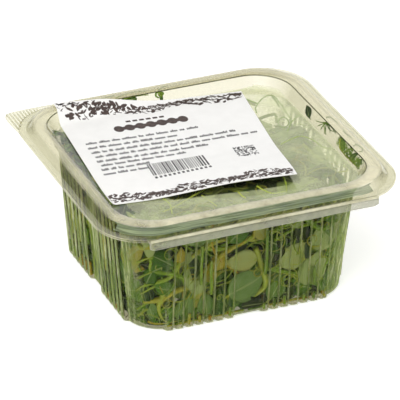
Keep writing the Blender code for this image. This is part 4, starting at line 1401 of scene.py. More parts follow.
@dataclass
class LeafPattern:
    """The one leaf that all the others are copies of: a grid across and along, modelled once."""

    rows: int = 9
    columns: int = 6
    across: list = field(default_factory=list)
    along: list = field(default_factory=list)
    faces: list = field(default_factory=list)

    def model(self) -> None:
        """Makes the flat leaf from a grid whose rows crowd towards the base and the tip."""
        deselect_all()
        bpy.ops.mesh.primitive_grid_add(x_subdivisions=self.columns, y_subdivisions=self.rows, size=2.0)
        item = bpy.context.active_object
        for vertex in item.data.vertices:
            self.across.append(vertex.co.x)
            self.along.append(0.5 - 0.5 * math.cos(math.pi * (vertex.co.y + 1) / 2))
        self.faces = [tuple(face.vertices) for face in item.data.polygons]
        bpy.data.objects.remove(item)


class Grower:
    """Grows one shoot as the CAD does, from the same rule and the same draws, in finer pieces."""

    STEM_RADII = (1.45, 0.95)
    STEM_STEPS = 44
    STALK_RADII = (0.85, 0.45)
    STALK_LENGTH = (8.0, 13.0)
    STALK_STEPS = 2
    TENDRIL_STEPS = 7
    TENDRIL_LENGTH = 24.0
    TENDRIL_TURN = 6.6
    TENDRIL_RADII = (0.5, 0.2)
    BRANCH_STEPS = 8
    BRANCH_LENGTH = (9.0, 17.0)
    BRANCH_TURN = (2.5, 6.5)
    BRANCH_RADII = (0.38, 0.16)
    NODE_SHARES = (0.42, 0.74)
    LEAF_MARGIN = 1.05
    LEAF_TRIES = 12
    LEAF_SPACING = 9.0
    LEAF_BASE_SHARE = 0.14
    LEAF_SINK = 0.6
    LEAFLET_LENGTH = (14.5, 19.5)
    STIPULE_LENGTH = (11.0, 15.0)
    TIP_LEAF_LENGTH = 11.0
    LEAF_BREADTH = 0.72
    FINE_STEPS = 6

    def __init__(self, shoot: Shoot, seed: int, pattern: LeafPattern, room: Room, tones: tuple[float, float]):
        """Starts a shoot.

        Args:
            shoot: Its cell and route.
            seed: Seed of its draws.
            pattern: The leaf that is copied.
            room: The space in the tray.
            tones: Lowest and highest tone of its leaves.
        """
        self.shoot = shoot
        self.draw = random.Random(seed)
        self.looks = random.Random(seed + 1000)
        self.pattern = pattern
        self.room = room
        self.tones = tones
        self.leaves = Greenery()
        self.stems = Greenery()
        self.leaf_places: list[Vector] = []

    def bend(self, point: Vector, margin: float) -> Vector:
        """Keeps a point in the shoot's cell."""
        return self.room.confine(point, self.shoot, margin)

    def add_tube(self, centres: Sequence[Vector], radii: tuple[float, float], sides: int, margin: float,
                 tone: float, swell: float = 0.0) -> None:
        """Adds a smooth tube through points that are bent into the cell."""
        bent = [self.bend(centre, margin) for centre in centres]
        steps = (len(bent) - 1) * (self.FINE_STEPS if len(bent) < 20 else 1)
        widths = []
        for index in range(steps + 1):
            share = index / steps
            width = radii[0] + (radii[1] - radii[0]) * share
            widths.append(width * (1 + swell * math.sin(19 * share + tone * 9)))
        self.stems.add_tube(trace(bent, steps), widths, sides, tone)

    def add_leaf(self, base: Vector, along: Vector, up: Vector, length: float, stalk_radius: float,
                 lean: float = 0.0, rounded: float = 0.75) -> None:
        """Adds an ovate leaf or stipule.

        Args:
            base: Where it joins its stalk.
            along: Its direction at the base.
            up: The way that its upper face looks.
            length: Its length.
            stalk_radius: Radius of the stalk that it is sunk into.
            lean: How much broader its outer half is, for a stipule.
            rounded: Below 1, its broadest place is nearer the base.
        """
        along, across, up = self.best_way(base, along.normalized(), up.normalized(), length)
        curl = self.draw.uniform(0.25, 0.8)
        cup = self.draw.uniform(0.1, 0.3)
        foot = base + along * stalk_radius * self.LEAF_SINK
        breadth = length * self.LEAF_BREADTH * self.draw.uniform(0.92, 1.08)
        phase = self.looks.uniform(0, 6.3)
        points, maps = [], []
        for v, u in zip(self.pattern.across, self.pattern.along):
            half = breadth / 2 * leaf_half(u, rounded, self.LEAF_BASE_SHARE)
            half *= 1 + lean * v
            run = length * math.sin(curl * u) / curl
            drop = length * (1 - math.cos(curl * u)) / curl
            ruffle = 0.035 * length * math.sin(7 * u + phase + 2 * v) * v * v
            rise = cup * half * v * v - drop + ruffle
            place = foot + along * run + across * half * v + up * rise
            points.append(self.bend(place, self.LEAF_MARGIN))
            maps.append((0.5 + 0.5 * v, u))
        self.leaves.add(points, self.pattern.faces, self.looks.uniform(*self.tones), maps)

    def best_way(self, base: Vector, along: Vector, up: Vector,
                 length: float) -> tuple[Vector, Vector, Vector]:
        """Draws several ways for a leaf and takes the one that is bent least and lies apart from the others.

        Args:
            base: Where the leaf joins its stalk.
            along: The first way to try.
            up: The way that its upper face looks.
            length: Its length.

        Returns:
            Along, across and up for the leaf.
        """
        best = None
        for index in range(self.LEAF_TRIES):
            swing = self.draw.uniform(-0.9, 0.9) if index else 0.0
            tilt = self.draw.uniform(-0.6, 0.6) if index else 0.0
            across = up.cross(along).normalized()
            turn = Matrix.Rotation(swing, 3, up) @ Matrix.Rotation(tilt, 3, across)
            way = turn @ along
            middle, end = base + way * length * 0.5, base + way * length
            cost = sum((self.bend(place, self.LEAF_MARGIN) - place).length for place in (middle, end))
            cost += sum(max(self.LEAF_SPACING - (middle - other).length, 0.0) for other in self.leaf_places)
            if best is None or cost < best[0]:
                best = (cost, way, (turn @ across).normalized(), middle)
        _, way, across, middle = best
        self.leaf_places.append(middle)
        return way, across, way.cross(across)

    def add_stalk(self, base: Vector, along: Vector, up: Vector) -> tuple[Vector, Vector]:
        """Adds a leaf's stalk, which runs on as a branched tendril and then curls up.

        Args:
            base: Where it leaves the stem.
            along: Its direction there.
            up: The axis that the tendril curls around.

        Returns:
            Where the leaflets join it, and its direction there.
        """
        turn = self.TENDRIL_TURN * self.draw.uniform(0.8, 1.2)
        reach = self.draw.uniform(*self.STALK_LENGTH) / self.STALK_STEPS
        centres = [base + along * reach * i + up * 0.6 * i * (i - 1) for i in range(self.STALK_STEPS + 1)]
        joint = centres[-1]
        heading = (centres[-1] - centres[-2]).normalized()
        joint_heading = heading.copy()
        step = self.TENDRIL_LENGTH / self.TENDRIL_STEPS
        for index in range(self.TENDRIL_STEPS):
            angle = turn * 2 * (index + 1) / (self.TENDRIL_STEPS * (self.TENDRIL_STEPS + 1))
            heading = Matrix.Rotation(angle, 3, up) @ heading
            centres.append(centres[-1] + (heading + up * 0.12) * step)
        tone = self.looks.uniform(0.3, 0.75)
        self.add_tube(centres[:self.STALK_STEPS + 1], (self.STALK_RADII[0], 0.6), 7, self.LEAF_MARGIN, tone)
        self.add_tube(centres[self.STALK_STEPS:], self.TENDRIL_RADII, 6, self.LEAF_MARGIN, tone)
        for index in (1, 2):
            self.add_branch(centres[self.STALK_STEPS + index], joint_heading, up, (-1) ** index, tone)
        return joint, joint_heading

    def add_branch(self, start: Vector, heading: Vector, up: Vector, hand: int, tone: float) -> None:
        """Adds one side branch of a tendril.

        Args:
            start: Where it leaves the tendril.
            heading: The stalk's direction where the tendril starts.
            up: The axis that the tendril curls around.
            hand: The way that it curls, 1 or -1.
            tone: Its place on the material's ramp.
        """
        length = self.looks.uniform(*self.BRANCH_LENGTH)
        turn = self.looks.uniform(*self.BRANCH_TURN) * hand
        steps = self.BRANCH_STEPS
        centres = [start]
        heading = Matrix.Rotation(-0.7 * hand, 3, up) @ heading
        for index in range(steps):
            heading = Matrix.Rotation(turn * 2 * (index + 1) / (steps * (steps + 1)), 3, up) @ heading
            centres.append(centres[-1] + (heading + up * 0.1 * hand) * length / steps)
        self.add_tube(centres, self.BRANCH_RADII, 5, self.LEAF_MARGIN, tone)

    def add_leaf_node(self, place: Vector, heading: Vector, hand: int, stipules: bool) -> None:
        """Adds a stalk with a pair of leaflets and a tendril.

        Args:
            place: Where it leaves the stem.
            heading: The stem's direction there.
            hand: The side of the stem that it grows on, 1 or -1.
            stipules: Whether a pair of stipules grows at its foot.
        """
        face = Vector(self.shoot.face).normalized()
        up = (face - heading * face.dot(heading)).normalized()
        up = Matrix.Rotation(self.draw.uniform(-0.45, 0.45), 3, heading) @ up
        side = heading.cross(up)
        for way in (-1, 1) if stipules else ():
            length = self.draw.uniform(*self.STIPULE_LENGTH)
            spread = self.draw.uniform(0.8, 1.1)
            along = heading * math.cos(spread) + side * way * math.sin(spread)
            self.add_leaf(place, along, up, length, self.STEM_RADII[1], 0.2 * way, 0.6)
        spread = self.draw.uniform(0.5, 0.9)
        along = (heading * math.cos(spread) + side * hand * math.sin(spread) + up * 0.5).normalized()
        joint, along = self.add_stalk(place, along, up * hand)
        side = along.cross(up).normalized()
        for way in (-1, 1):
            length = self.draw.uniform(*self.LEAFLET_LENGTH)
            spread = self.draw.uniform(0.75, 1.15)
            along_leaf = along * math.cos(spread) + side * way * math.sin(spread)
            self.add_leaf(joint, along_leaf, up, length, self.STALK_RADII[1])

    def grow(self) -> None:
        """Adds the stem, two leaf nodes and the pair of young leaves at its tip."""
        knots = [Vector(place) for place in self.shoot.route]
        centres = trace(knots, self.STEM_STEPS)
        self.add_tube(centres, self.STEM_RADII, 10, self.STEM_RADII[0], self.looks.uniform(0.4, 0.9), 0.05)
        for index, share in enumerate(self.NODE_SHARES):
            place = curve_point(knots, share)
            heading = (curve_point(knots, share + 0.02) - place).normalized()
            self.add_leaf_node(place, heading, hand=-1 if index else 1, stipules=index == 0)
        tip = curve_point(knots, 1.0)
        heading = (tip - curve_point(knots, 0.96)).normalized()
        face = Vector(self.shoot.face).normalized()
        up = (face - heading * face.dot(heading)).normalized()
        side = heading.cross(up)
        for way in (-1, 1):
            self.add_leaf(tip - heading, heading + side * way * 0.6, up, self.TIP_LEAF_LENGTH,
                          self.STEM_RADII[1])


class WallLeaf(NamedTuple):
    """A leaf pressed to the hinge side's wall: its middle, its lean in degrees, its length and its tone."""

    x: float
    z: float
    lean: float
    length: float
    tone: float
    breadth: float = 0.72


class WallStem(NamedTuple):
    """A stem that lies along the hinge side's wall, by (X, Z) places."""

    route: tuple
    radius: float
    tone: float


WALL_LEAVES = [WallLeaf(*values) for values in (
    (-44.8, 26.7, 50, 11, 0.36), (-45.6, 40.4, 120, 9, 0.78), (-44.4, 8.8, -60, 10, 0.6),
    (-3.0, 26.4, 178, 14, 0.86), (-12.7, 28.8, 60, 10, 1.0), (-17.0, 23.3, 95, 8, 0.97),
    (-22.1, 19.6, 80, 11, 0.76), (0.6, 14.0, 20, 19, 0.58, 0.8), (-27.7, 9.2, 70, 13, 0.56),
    (-18.6, 9.0, 100, 11, 0.5), (22.3, 23.8, 28, 16, 0.82), (30.5, 16.0, 62, 18, 0.74),
    (35.7, 30.2, 42, 15, 0.76), (-30.3, 35.0, 80, 7, 1.0), (-38.5, 31.0, 20, 11, 0.35),
    (-36.0, 19.5, -20, 14, 0.45, 0.5), (-50.0, 17.0, 100, 15, 0.2, 0.5), (12.5, 31.0, 150, 12, 0.3),
    (-10.0, 8.0, 110, 12, 0.3), (-4.0, 40.5, 35, 12, 0.4), (24.0, 8.0, 160, 13, 0.42),
    (14.0, 9.5, 60, 12, 0.5), (-24.0, 42.0, 200, 12, 0.6), (5.0, 40.0, 120, 11, 0.9, 0.6),
    (40.0, 10.0, 80, 12, 0.35), (44.0, 24.0, 70, 13, 0.55),
)]
WALL_STEMS = [WallStem(*values) for values in (
    (((-42.6, 46.0), (-42.8, 42.0), (-42.8, 35.3), (-43.9, 29.5)), 1.1, 0.45),
    (((-29.0, 36.0), (-31.1, 30.5), (-34.5, 25.3), (-41.4, 23.2), (-47.7, 21.4), (-50.2, 15.0)), 1.15, 0.5),
    (((-49.0, 12.9), (-39.7, 14.6), (-32.0, 17.5), (-25.5, 18.2)), 1.35, 0.8),
    (((-37.5, 17.5), (-38.6, 14.8), (-40.1, 10.6), (-37.1, 4.4), (-30.2, 2.2), (-24.2, 3.3), (-17.0, 6.4)),
     1.2, 0.66),
    (((-20.5, 15.2), (-17.8, 16.2), (-12.2, 16.3), (-7.0, 17.8), (-3.0, 21.0)), 0.32, 0.55),
    (((3.6, 31.0), (5.2, 26.5), (7.1, 19.1), (9.0, 13.5), (7.9, 9.9), (3.0, 7.0)), 1.3, 0.62),
    (((7.0, 21.0), (10.8, 18.9), (20.6, 14.8), (31.0, 8.6)), 0.9, 0.3),
    (((47.0, 43.0), (45.9, 38.3), (42.5, 26.9), (36.0, 15.4), (33.1, 5.3)), 0.85, 0.28),
    (((49.5, 40.0), (47.9, 33.3), (44.5, 22.9), (40.0, 12.4), (38.1, 4.3)), 0.7, 0.4),
    (((10.0, 36.8), (18.5, 39.2), (29.9, 40.8), (46.7, 39.6)), 0.9, 0.3),
    (((12.0, 33.0), (22.0, 36.6), (34.0, 37.6), (46.0, 44.0)), 0.75, 0.35),
    (((-47.0, 3.5), (-42.0, 2.4), (-35.0, 2.6), (-30.0, 2.2)), 0.9, 0.85),
    (((13.0, 20.5), (14.5, 17.0), (15.5, 13.0), (13.0, 9.0)), 0.5, 0.35),
    (((-28.0, 45.0), (-20.0, 37.0), (-12.0, 33.5), (-2.0, 35.0), (8.0, 42.0)), 1.0, 0.5),
)]


@dataclass
class LooseGreens:
    """The leaves and stems that fill the tray between the shoots, from its walls to its middle."""

    fine: LeafPattern
    coarse: LeafPattern
    room: Room = field(default_factory=lambda: Room(wall_inset=2.15, floor=1.5, half_gap=0.1, soft=1.6))
    seed: int = 77
    shell_leaves: int = 430
    core_leaves: int = 260
    shell_stems: int = 110
    tendrils: int = 190
    wall_tendrils: int = 46
    rim_leaves: int = 90
    floor_leaves: int = 90
    foot_leaves: int = 120
    foot_stems: int = 9
    flute_pitch: float = 4.55
    flute_start: float = 5.6
    margin: float = 0.3
    lid_share: float = 0.36
    tendril_steps: int = 26
    tendril_radius: float = 0.36
    tendril_taper: float = 0.2
    shell_tones: tuple = (0.05, 0.05, 0.1, 0.15, 0.2, 0.3, 0.4, 0.45, 0.5, 0.6, 0.75, 0.95)
    foot_leaf_tones: tuple = (0.05, 0.15, 0.3, 0.45, 0.6)
    cut_end_tones: tuple = (0.3, 0.6, 0.8, 0.95, 1.0)
    foot_stem_tones: tuple = (0.1, 0.4, 0.8, 0.95, 1.0)

    def __post_init__(self) -> None:
        """Starts the draws and the two meshes."""
        self.draw = random.Random(self.seed)
        self.leaves = Greenery()
        self.stems = Greenery()

    def top_at(self, x: float, y: float) -> float:
        """How high the greens reach: to the lid, but sunk towards the back right."""
        sink = smooth_step((x - 2.0) / 24.0) * smooth_step((y - 10.0) / 30.0)
        return self.room.ceiling - 1.0 - 17.0 * sink + 1.2 * math.sin(x / 9) * math.cos(y / 8)

    def add_leaf(self, middle: Vector, along: Vector, up: Vector, length: float, tone: float,
                 breadth: float = 0.72, near: bool = False) -> None:
        """Adds one cupped leaf.

        Args:
            middle: Its middle.
            along: The way from its base to its tip.
            up: The way that its upper face looks, roughly.
            length: Its length.
            tone: Its place on the material's ramp.
            breadth: Its breadth as a share of its length.
            near: Whether it can be told apart through the hinge side's wall, and so is a finer one.
        """
        pattern = self.fine if near else self.coarse
        along = along.normalized()
        across = up.cross(along).normalized()
        up = along.cross(across)
        curl = self.draw.uniform(0.15, 0.7)
        cup = self.draw.uniform(0.05, 0.3)
        phase = self.draw.uniform(0, 6.3)
        wide = length * breadth
        points, maps = [], []
        for v, u in zip(pattern.across, pattern.along):
            half = wide / 2 * leaf_half(u)
            rise = cup * half * v * v - length * (1 - math.cos(curl * (u - 0.5))) / curl
            rise += 0.03 * length * math.sin(6 * u + phase + 2 * v) * v * v
            place = middle + along * length * (u - 0.5) + across * half * v + up * rise
            points.append(self.room.confine_loosely(place, self.margin))
            maps.append((0.5 + 0.5 * v, u))
        self.leaves.add(points, pattern.faces, tone, maps)

    def add_stem(self, route: Sequence[Vector], radii: tuple[float, float], tone: float, sides: int = 8,
                 steps: int = 30, free: bool = False) -> None:
        """Adds one stem.

        Args:
            route: Knots of its centre line.
            radii: Its radius at the start and at the end.
            tone: Its place on the material's ramp.
            sides: Sides of its section.
            steps: Steps along it.
            free: Whether its route is already clear of the tray; any other route is bent clear.
        """
        line = trace(route, steps)
        if not free:
            line = [self.room.confine_loosely(place, radii[0]) for place in line]
        widths = [radii[0] + (radii[1] - radii[0]) * index / steps for index in range(steps + 1)]
        self.stems.add_tube(line, widths, sides, tone)

    def add_tendril(self, start: Vector, heading: Vector, axis: Vector, length: float, turn: float,
                    tone: float) -> None:
        """Adds one thin tendril whose end curls up.

        Args:
            start: Where it starts.
            heading: Its direction there.
            axis: The axis that it curls around.
            length: Its length.
            turn: How far it turns in all, in radians.
            tone: Its place on the material's ramp.
        """
        steps = self.tendril_steps
        place, line = start.copy(), [start.copy()]
        for index in range(steps):
            angle = turn * 2 * (index + 1) / (steps * (steps + 1))
            heading = Matrix.Rotation(angle, 3, axis) @ heading
            place = place + (heading + axis * 0.08) * length / steps
            line.append(place.copy())
        line = [self.room.confine_loosely(place, 0.4) for place in line]
        widths = [self.tendril_radius - self.tendril_taper * index / steps for index in range(steps + 1)]
        self.stems.add_tube(line, widths, 5, tone)

    def fill_wall(self) -> None:
        """Places what can be told apart along the hinge side's wall, each leaf with a short stalk inwards."""
        draw = self.draw
        for leaf in WALL_LEAVES:
            lean = math.radians(leaf.lean)
            along = Vector((math.cos(lean), draw.uniform(0.05, 0.3), math.sin(lean)))
            middle = Vector((leaf.x, draw.uniform(-47.0, -45.5), leaf.z))
            up = Vector((draw.uniform(-0.2, 0.2), -1.0, draw.uniform(0.0, 0.4)))
            self.add_leaf(middle, along, up, leaf.length, leaf.tone, leaf.breadth, near=True)
            foot = middle - along * leaf.length * 0.48
            route = [foot, foot + Vector((-2.5, 2.5, -2.0)), foot + Vector((-3.5, 7.0, -5.0))]
            self.add_stem(route, (0.5, 0.6), draw.uniform(0.3, 0.6), sides=6, steps=10)
        for stem in WALL_STEMS:
            route = [Vector((x, -45.6 + 0.8 * math.sin(x), z)) for x, z in stem.route]
            self.add_stem(route, (stem.radius, stem.radius * 0.85), stem.tone, sides=10, steps=36)
        for _ in range(self.wall_tendrils):
            start = Vector((draw.uniform(-46.0, 46.0), -45.9, draw.uniform(4.0, 47.0)))
            angle = draw.uniform(0.0, 2 * math.pi)
            self.add_tendril(start, Vector((math.cos(angle), 0.0, math.sin(angle))), Vector((0.0, -1.0, 0.0)),
                             draw.uniform(8.0, 24.0), draw.choice((-1, 1)) * draw.uniform(1.0, 8.0),
                             draw.uniform(0.4, 0.85))

    def shell_place(self, depth: float) -> tuple[Vector, Vector]:
        """A seeded place near the tray's wall or under the lid, and the way outwards there.

        Args:
            depth: How far inside the shell it may lie.

        Returns:
            The place and a unit vector outwards.
        """
        draw = self.draw
        if draw.random() < self.lid_share:
            x, y = draw.uniform(-48, 48), draw.uniform(-45, 45)
            return Vector((x, y, self.top_at(x, y) - draw.uniform(0.5, depth))), Vector((0, 0, 1))
        angle = draw.uniform(0, 2 * math.pi)
        x, y = 70 * math.cos(angle), 70 * math.sin(angle)
        height = draw.uniform(3.0, 50.0)
        half, radius = wall_at(height)
        inset = self.room.wall_inset + draw.uniform(0.5, depth)
        for _ in range(8):
            distance, out_x, out_y = self.room.outline_distance(x, y, half - inset, max(radius - inset, 2.0))
            x, y = x - out_x * distance, y - out_y * distance
        return Vector((x, y, min(height, self.top_at(x, y) - 1.0))), Vector((out_x, out_y, 0.25)).normalized()

    def fill_foot(self) -> None:
        """Lays leaves on the tray's floor and cut ends of stems into the feet of the flutes."""
        draw = self.draw
        for _ in range(self.floor_leaves):
            middle = Vector((draw.uniform(-46, 46), draw.uniform(-43, 43), draw.uniform(1.6, 3.4)))
            out = Vector((draw.uniform(-0.3, 0.3), draw.uniform(-0.3, 0.3), 1.0))
            self.add_leaf(middle, self.any_way(out), out, draw.uniform(10.0, 17.0),
                          draw.uniform(0.12, 0.6))
        for _ in range(self.foot_leaves):
            middle, out = self.shell_place(2.0)
            middle.z = draw.uniform(3.0, 7.5)
            self.add_leaf(middle, self.any_way(out), out, draw.uniform(9.0, 15.0),
                          draw.choice(self.foot_leaf_tones))
        pitch, panel = self.flute_pitch, self.flute_start
        for side in range(4):
            turn = Matrix.Rotation(side * math.pi / 2, 3, "Z")
            depth = FOOT[0] - (0.0 if side % 2 else SIDE_DIFFERENCE)
            for place in range(-7, 7):
                along = math.copysign(panel + (abs(place + 0.5)) * pitch, place + 0.5)
                if abs(place + 0.5) > 7 - side % 2 or draw.random() < 0.2:
                    continue
                start = Vector((along, 1.55 - depth, draw.uniform(1.45, 2.6)))
                inner = Vector((along + draw.uniform(-2.5, 2.5), 7.0 - depth, draw.uniform(1.8, 3.4)))
                end = Vector((inner.x + draw.uniform(-9, 9), 15.0 - depth, draw.uniform(3.0, 7.0)))
                radius = draw.uniform(0.5, 0.85)
                self.add_stem([turn @ start, turn @ inner, turn @ end], (radius, radius * 0.9),
                              draw.choice(self.cut_end_tones), sides=8, steps=12, free=True)
                self.add_upright(turn, along, depth - 1.25, 1.3, draw.uniform(2.5, 8.0),
                                 draw.choice(self.foot_stem_tones))
                if draw.random() < (0.7 if side == 3 else 0.2):
                    low = draw.uniform(6.0, 20.0)
                    high = min(low + draw.uniform(8.0, 22.0), 44.0)
                    self.add_upright(turn, along, depth - 1.5, low, high, draw.uniform(0.0, 0.8))
            reach = FOOT[0] - FOOT[1] - (SIDE_DIFFERENCE if side % 2 else 0.0)
            for _ in range(self.foot_stems):
                middle, half = draw.uniform(-reach, reach), draw.uniform(2.5, 9.0)
                route = [turn @ Vector((min(max(middle + half * share, -reach - 3.0), reach + 3.0),
                                        2.85 - depth + draw.uniform(0.0, 0.5), draw.uniform(1.1, 1.3)))
                         for share in (-1.0, 0.0, 1.0)]
                self.add_stem(route, (0.5, 0.55), draw.choice(self.foot_stem_tones), sides=7, steps=12,
                              free=True)

    def add_upright(self, turn: Matrix, along: float, depth: float, low: float, high: float,
                    tone: float) -> None:
        """Stands a stem in a flute.

        Args:
            turn: Turns the hinge side to the flute's side.
            along: The flute's place along its side.
            depth: How far from the middle its foot would lie on the floor.
            low: The stem's lower end.
            high: The stem's upper end.
            tone: Its place on the material's ramp.
        """
        route = []
        for share in (0.0, 0.33, 0.67, 1.0):
            height = low + (high - low) * share
            lean = wall_at(height)[0] - FOOT[0]
            route.append(turn @ Vector((along + self.draw.uniform(-0.25, 0.25), -depth - lean, height)))
        self.add_stem(route, (0.7, 0.65), tone, sides=7, steps=10, free=True)

    def any_way(self, out: Vector) -> Vector:
        """A seeded direction that lies mostly across an outward one."""
        wild = Vector([self.draw.gauss(0, 1) for _ in range(3)])
        return (wild - out * wild.dot(out) * 0.8).normalized()

    def fill(self) -> None:
        """Fills the tray with seeded leaves, stems and tendrils."""
        draw = self.draw
        self.fill_wall()
        self.fill_foot()
        for _ in range(self.shell_leaves):
            middle, out = self.shell_place(9.0)
            tone = draw.choice(self.shell_tones)
            up = (out + 0.5 * self.any_way(out)).normalized()
            self.add_leaf(middle, self.any_way(out), up, draw.uniform(9.0, 19.0),
                          tone + draw.uniform(-0.05, 0.05), draw.uniform(0.5, 0.8))
        for _ in range(self.rim_leaves):
            middle, out = self.shell_place(6.0)
            middle.z = min(draw.uniform(42.0, 51.0), self.top_at(middle.x, middle.y) - 1.0)
            self.add_leaf(middle, self.any_way(out), out, draw.uniform(9.0, 15.0),
                          draw.uniform(0.2, 0.85), draw.uniform(0.5, 0.8))
        # Core leaves in the darkest tones: painted shade deep in the heap.
        for _ in range(self.core_leaves):
            x, y = draw.uniform(-40, 40), draw.uniform(-37, 37)
            middle = Vector((x, y, draw.uniform(5.0, max(self.top_at(x, y) - 6.0, 12.0))))
            out = Vector([draw.gauss(0, 1) for _ in range(3)]).normalized()
            self.add_leaf(middle, self.any_way(out), out, draw.uniform(14.0, 21.0),
                          draw.uniform(0.0, 0.1), 0.85)
        for _ in range(self.shell_stems):
            start, out = self.shell_place(6.0)
            way = self.any_way(out)
            bow = self.any_way(out) * draw.uniform(3.0, 12.0)
            length = draw.uniform(18.0, 42.0)
            route = [start + way * length * share + bow * math.sin(math.pi * share) - out * 3 * share
                     for share in (0.0, 0.33, 0.66, 1.0)]
            radius = draw.uniform(0.6, 1.35)
            self.add_stem(route, (radius, radius * 0.8), draw.uniform(0.15, 0.95))
        for _ in range(self.tendrils):
            start, out = self.shell_place(3.0)
            self.add_tendril(start, self.any_way(out), out, draw.uniform(14.0, 34.0),
                             draw.choice((-1, 1)) * draw.uniform(3.0, 9.0), draw.uniform(0.3, 0.8))


class Slope(NamedTuple):
    """One of the recess's slopes, under whose sheet some greens are caught: its outward way and its shift."""

    out: tuple[float, float]
    less: float


RIGHT_SLOPE = Slope((1.0, 0.0), 0.0)
BACK_SLOPE = Slope((0.0, 1.0), SIDE_DIFFERENCE)
CREST_THREADS = (
    ((-28.0, 55.0), (-25.0, 56.4), (-21.0, 57.2), (-18.5, 57.3)),
    ((-18.5, 54.9), (-15.0, 56.6), (-10.0, 57.3), (-6.0, 56.8), (-4.5, 55.8)),
    ((1.5, 55.0), (4.0, 57.1), (6.5, 57.2)),
    ((57.9, 4.0), (59.5, 3.6), (60.1, 0.5), (60.1, -3.5)),
    ((57.8, -24.2), (59.2, -23.6), (60.0, -25.5), (60.0, -28.4), (58.6, -30.2), (57.8, -29.5)),
    ((59.9, -9.5), (59.4, -13.0), (60.0, -17.0)),
)
PANEL_TENDRILS = (
    (0.5, 0.35, ((35.0, 43.5), (37.9, 38.6), (39.6, 35.2))),
    (0.3, 0.3, ((35.9, 27.6), (37.0, 31.5), (40.8, 36.4), (44.4, 39.6), (47.5, 40.6), (49.1, 38.2),
                (48.8, 33.1), (48.7, 29.0), (47.9, 24.6), (46.9, 16.7), (44.9, 12.4), (40.6, 6.0))),
    (0.42, 0.25, ((48.1, 38.6), (48.0, 34.5), (47.2, 29.0))),
    (0.26, 0.3, ((40.8, 16.1), (43.0, 18.8), (45.0, 19.1), (45.5, 16.3), (44.1, 12.7), (41.7, 10.6),
                 (40.2, 11.5), (40.3, 14.3), (41.2, 16.6))),
    (0.3, 0.35, ((52.0, 18.6), (49.3, 16.8), (45.7, 13.1), (41.8, 7.6), (38.5, 2.8))),
    (0.34, 0.5, ((33.7, -3.2), (39.6, -0.6), (44.8, 0.3), (48.0, -5.1), (48.9, -11.5), (51.5, -15.5))),
    (0.5, 0.62, ((-30.9, -28.7), (-30.1, -34.0), (-32.2, -41.8))),
    (0.45, 0.66, ((-11.2, -27.4), (-14.9, -29.3), (-21.2, -32.7), (-29.0, -37.0), (-35.3, -39.3))),
    (0.42, 0.7, ((-15.0, -32.2), (-14.0, -36.9), (-12.9, -42.9))),
    (0.4, 0.7, ((0.0, -35.2), (0.2, -39.0), (1.0, -41.2))),
    (0.42, 0.6, ((9.3, -33.3), (10.7, -38.3), (12.9, -41.7), (18.7, -42.2))),
    (0.5, 0.55, ((22.7, -30.6), (21.3, -36.4), (18.7, -42.9))),
)


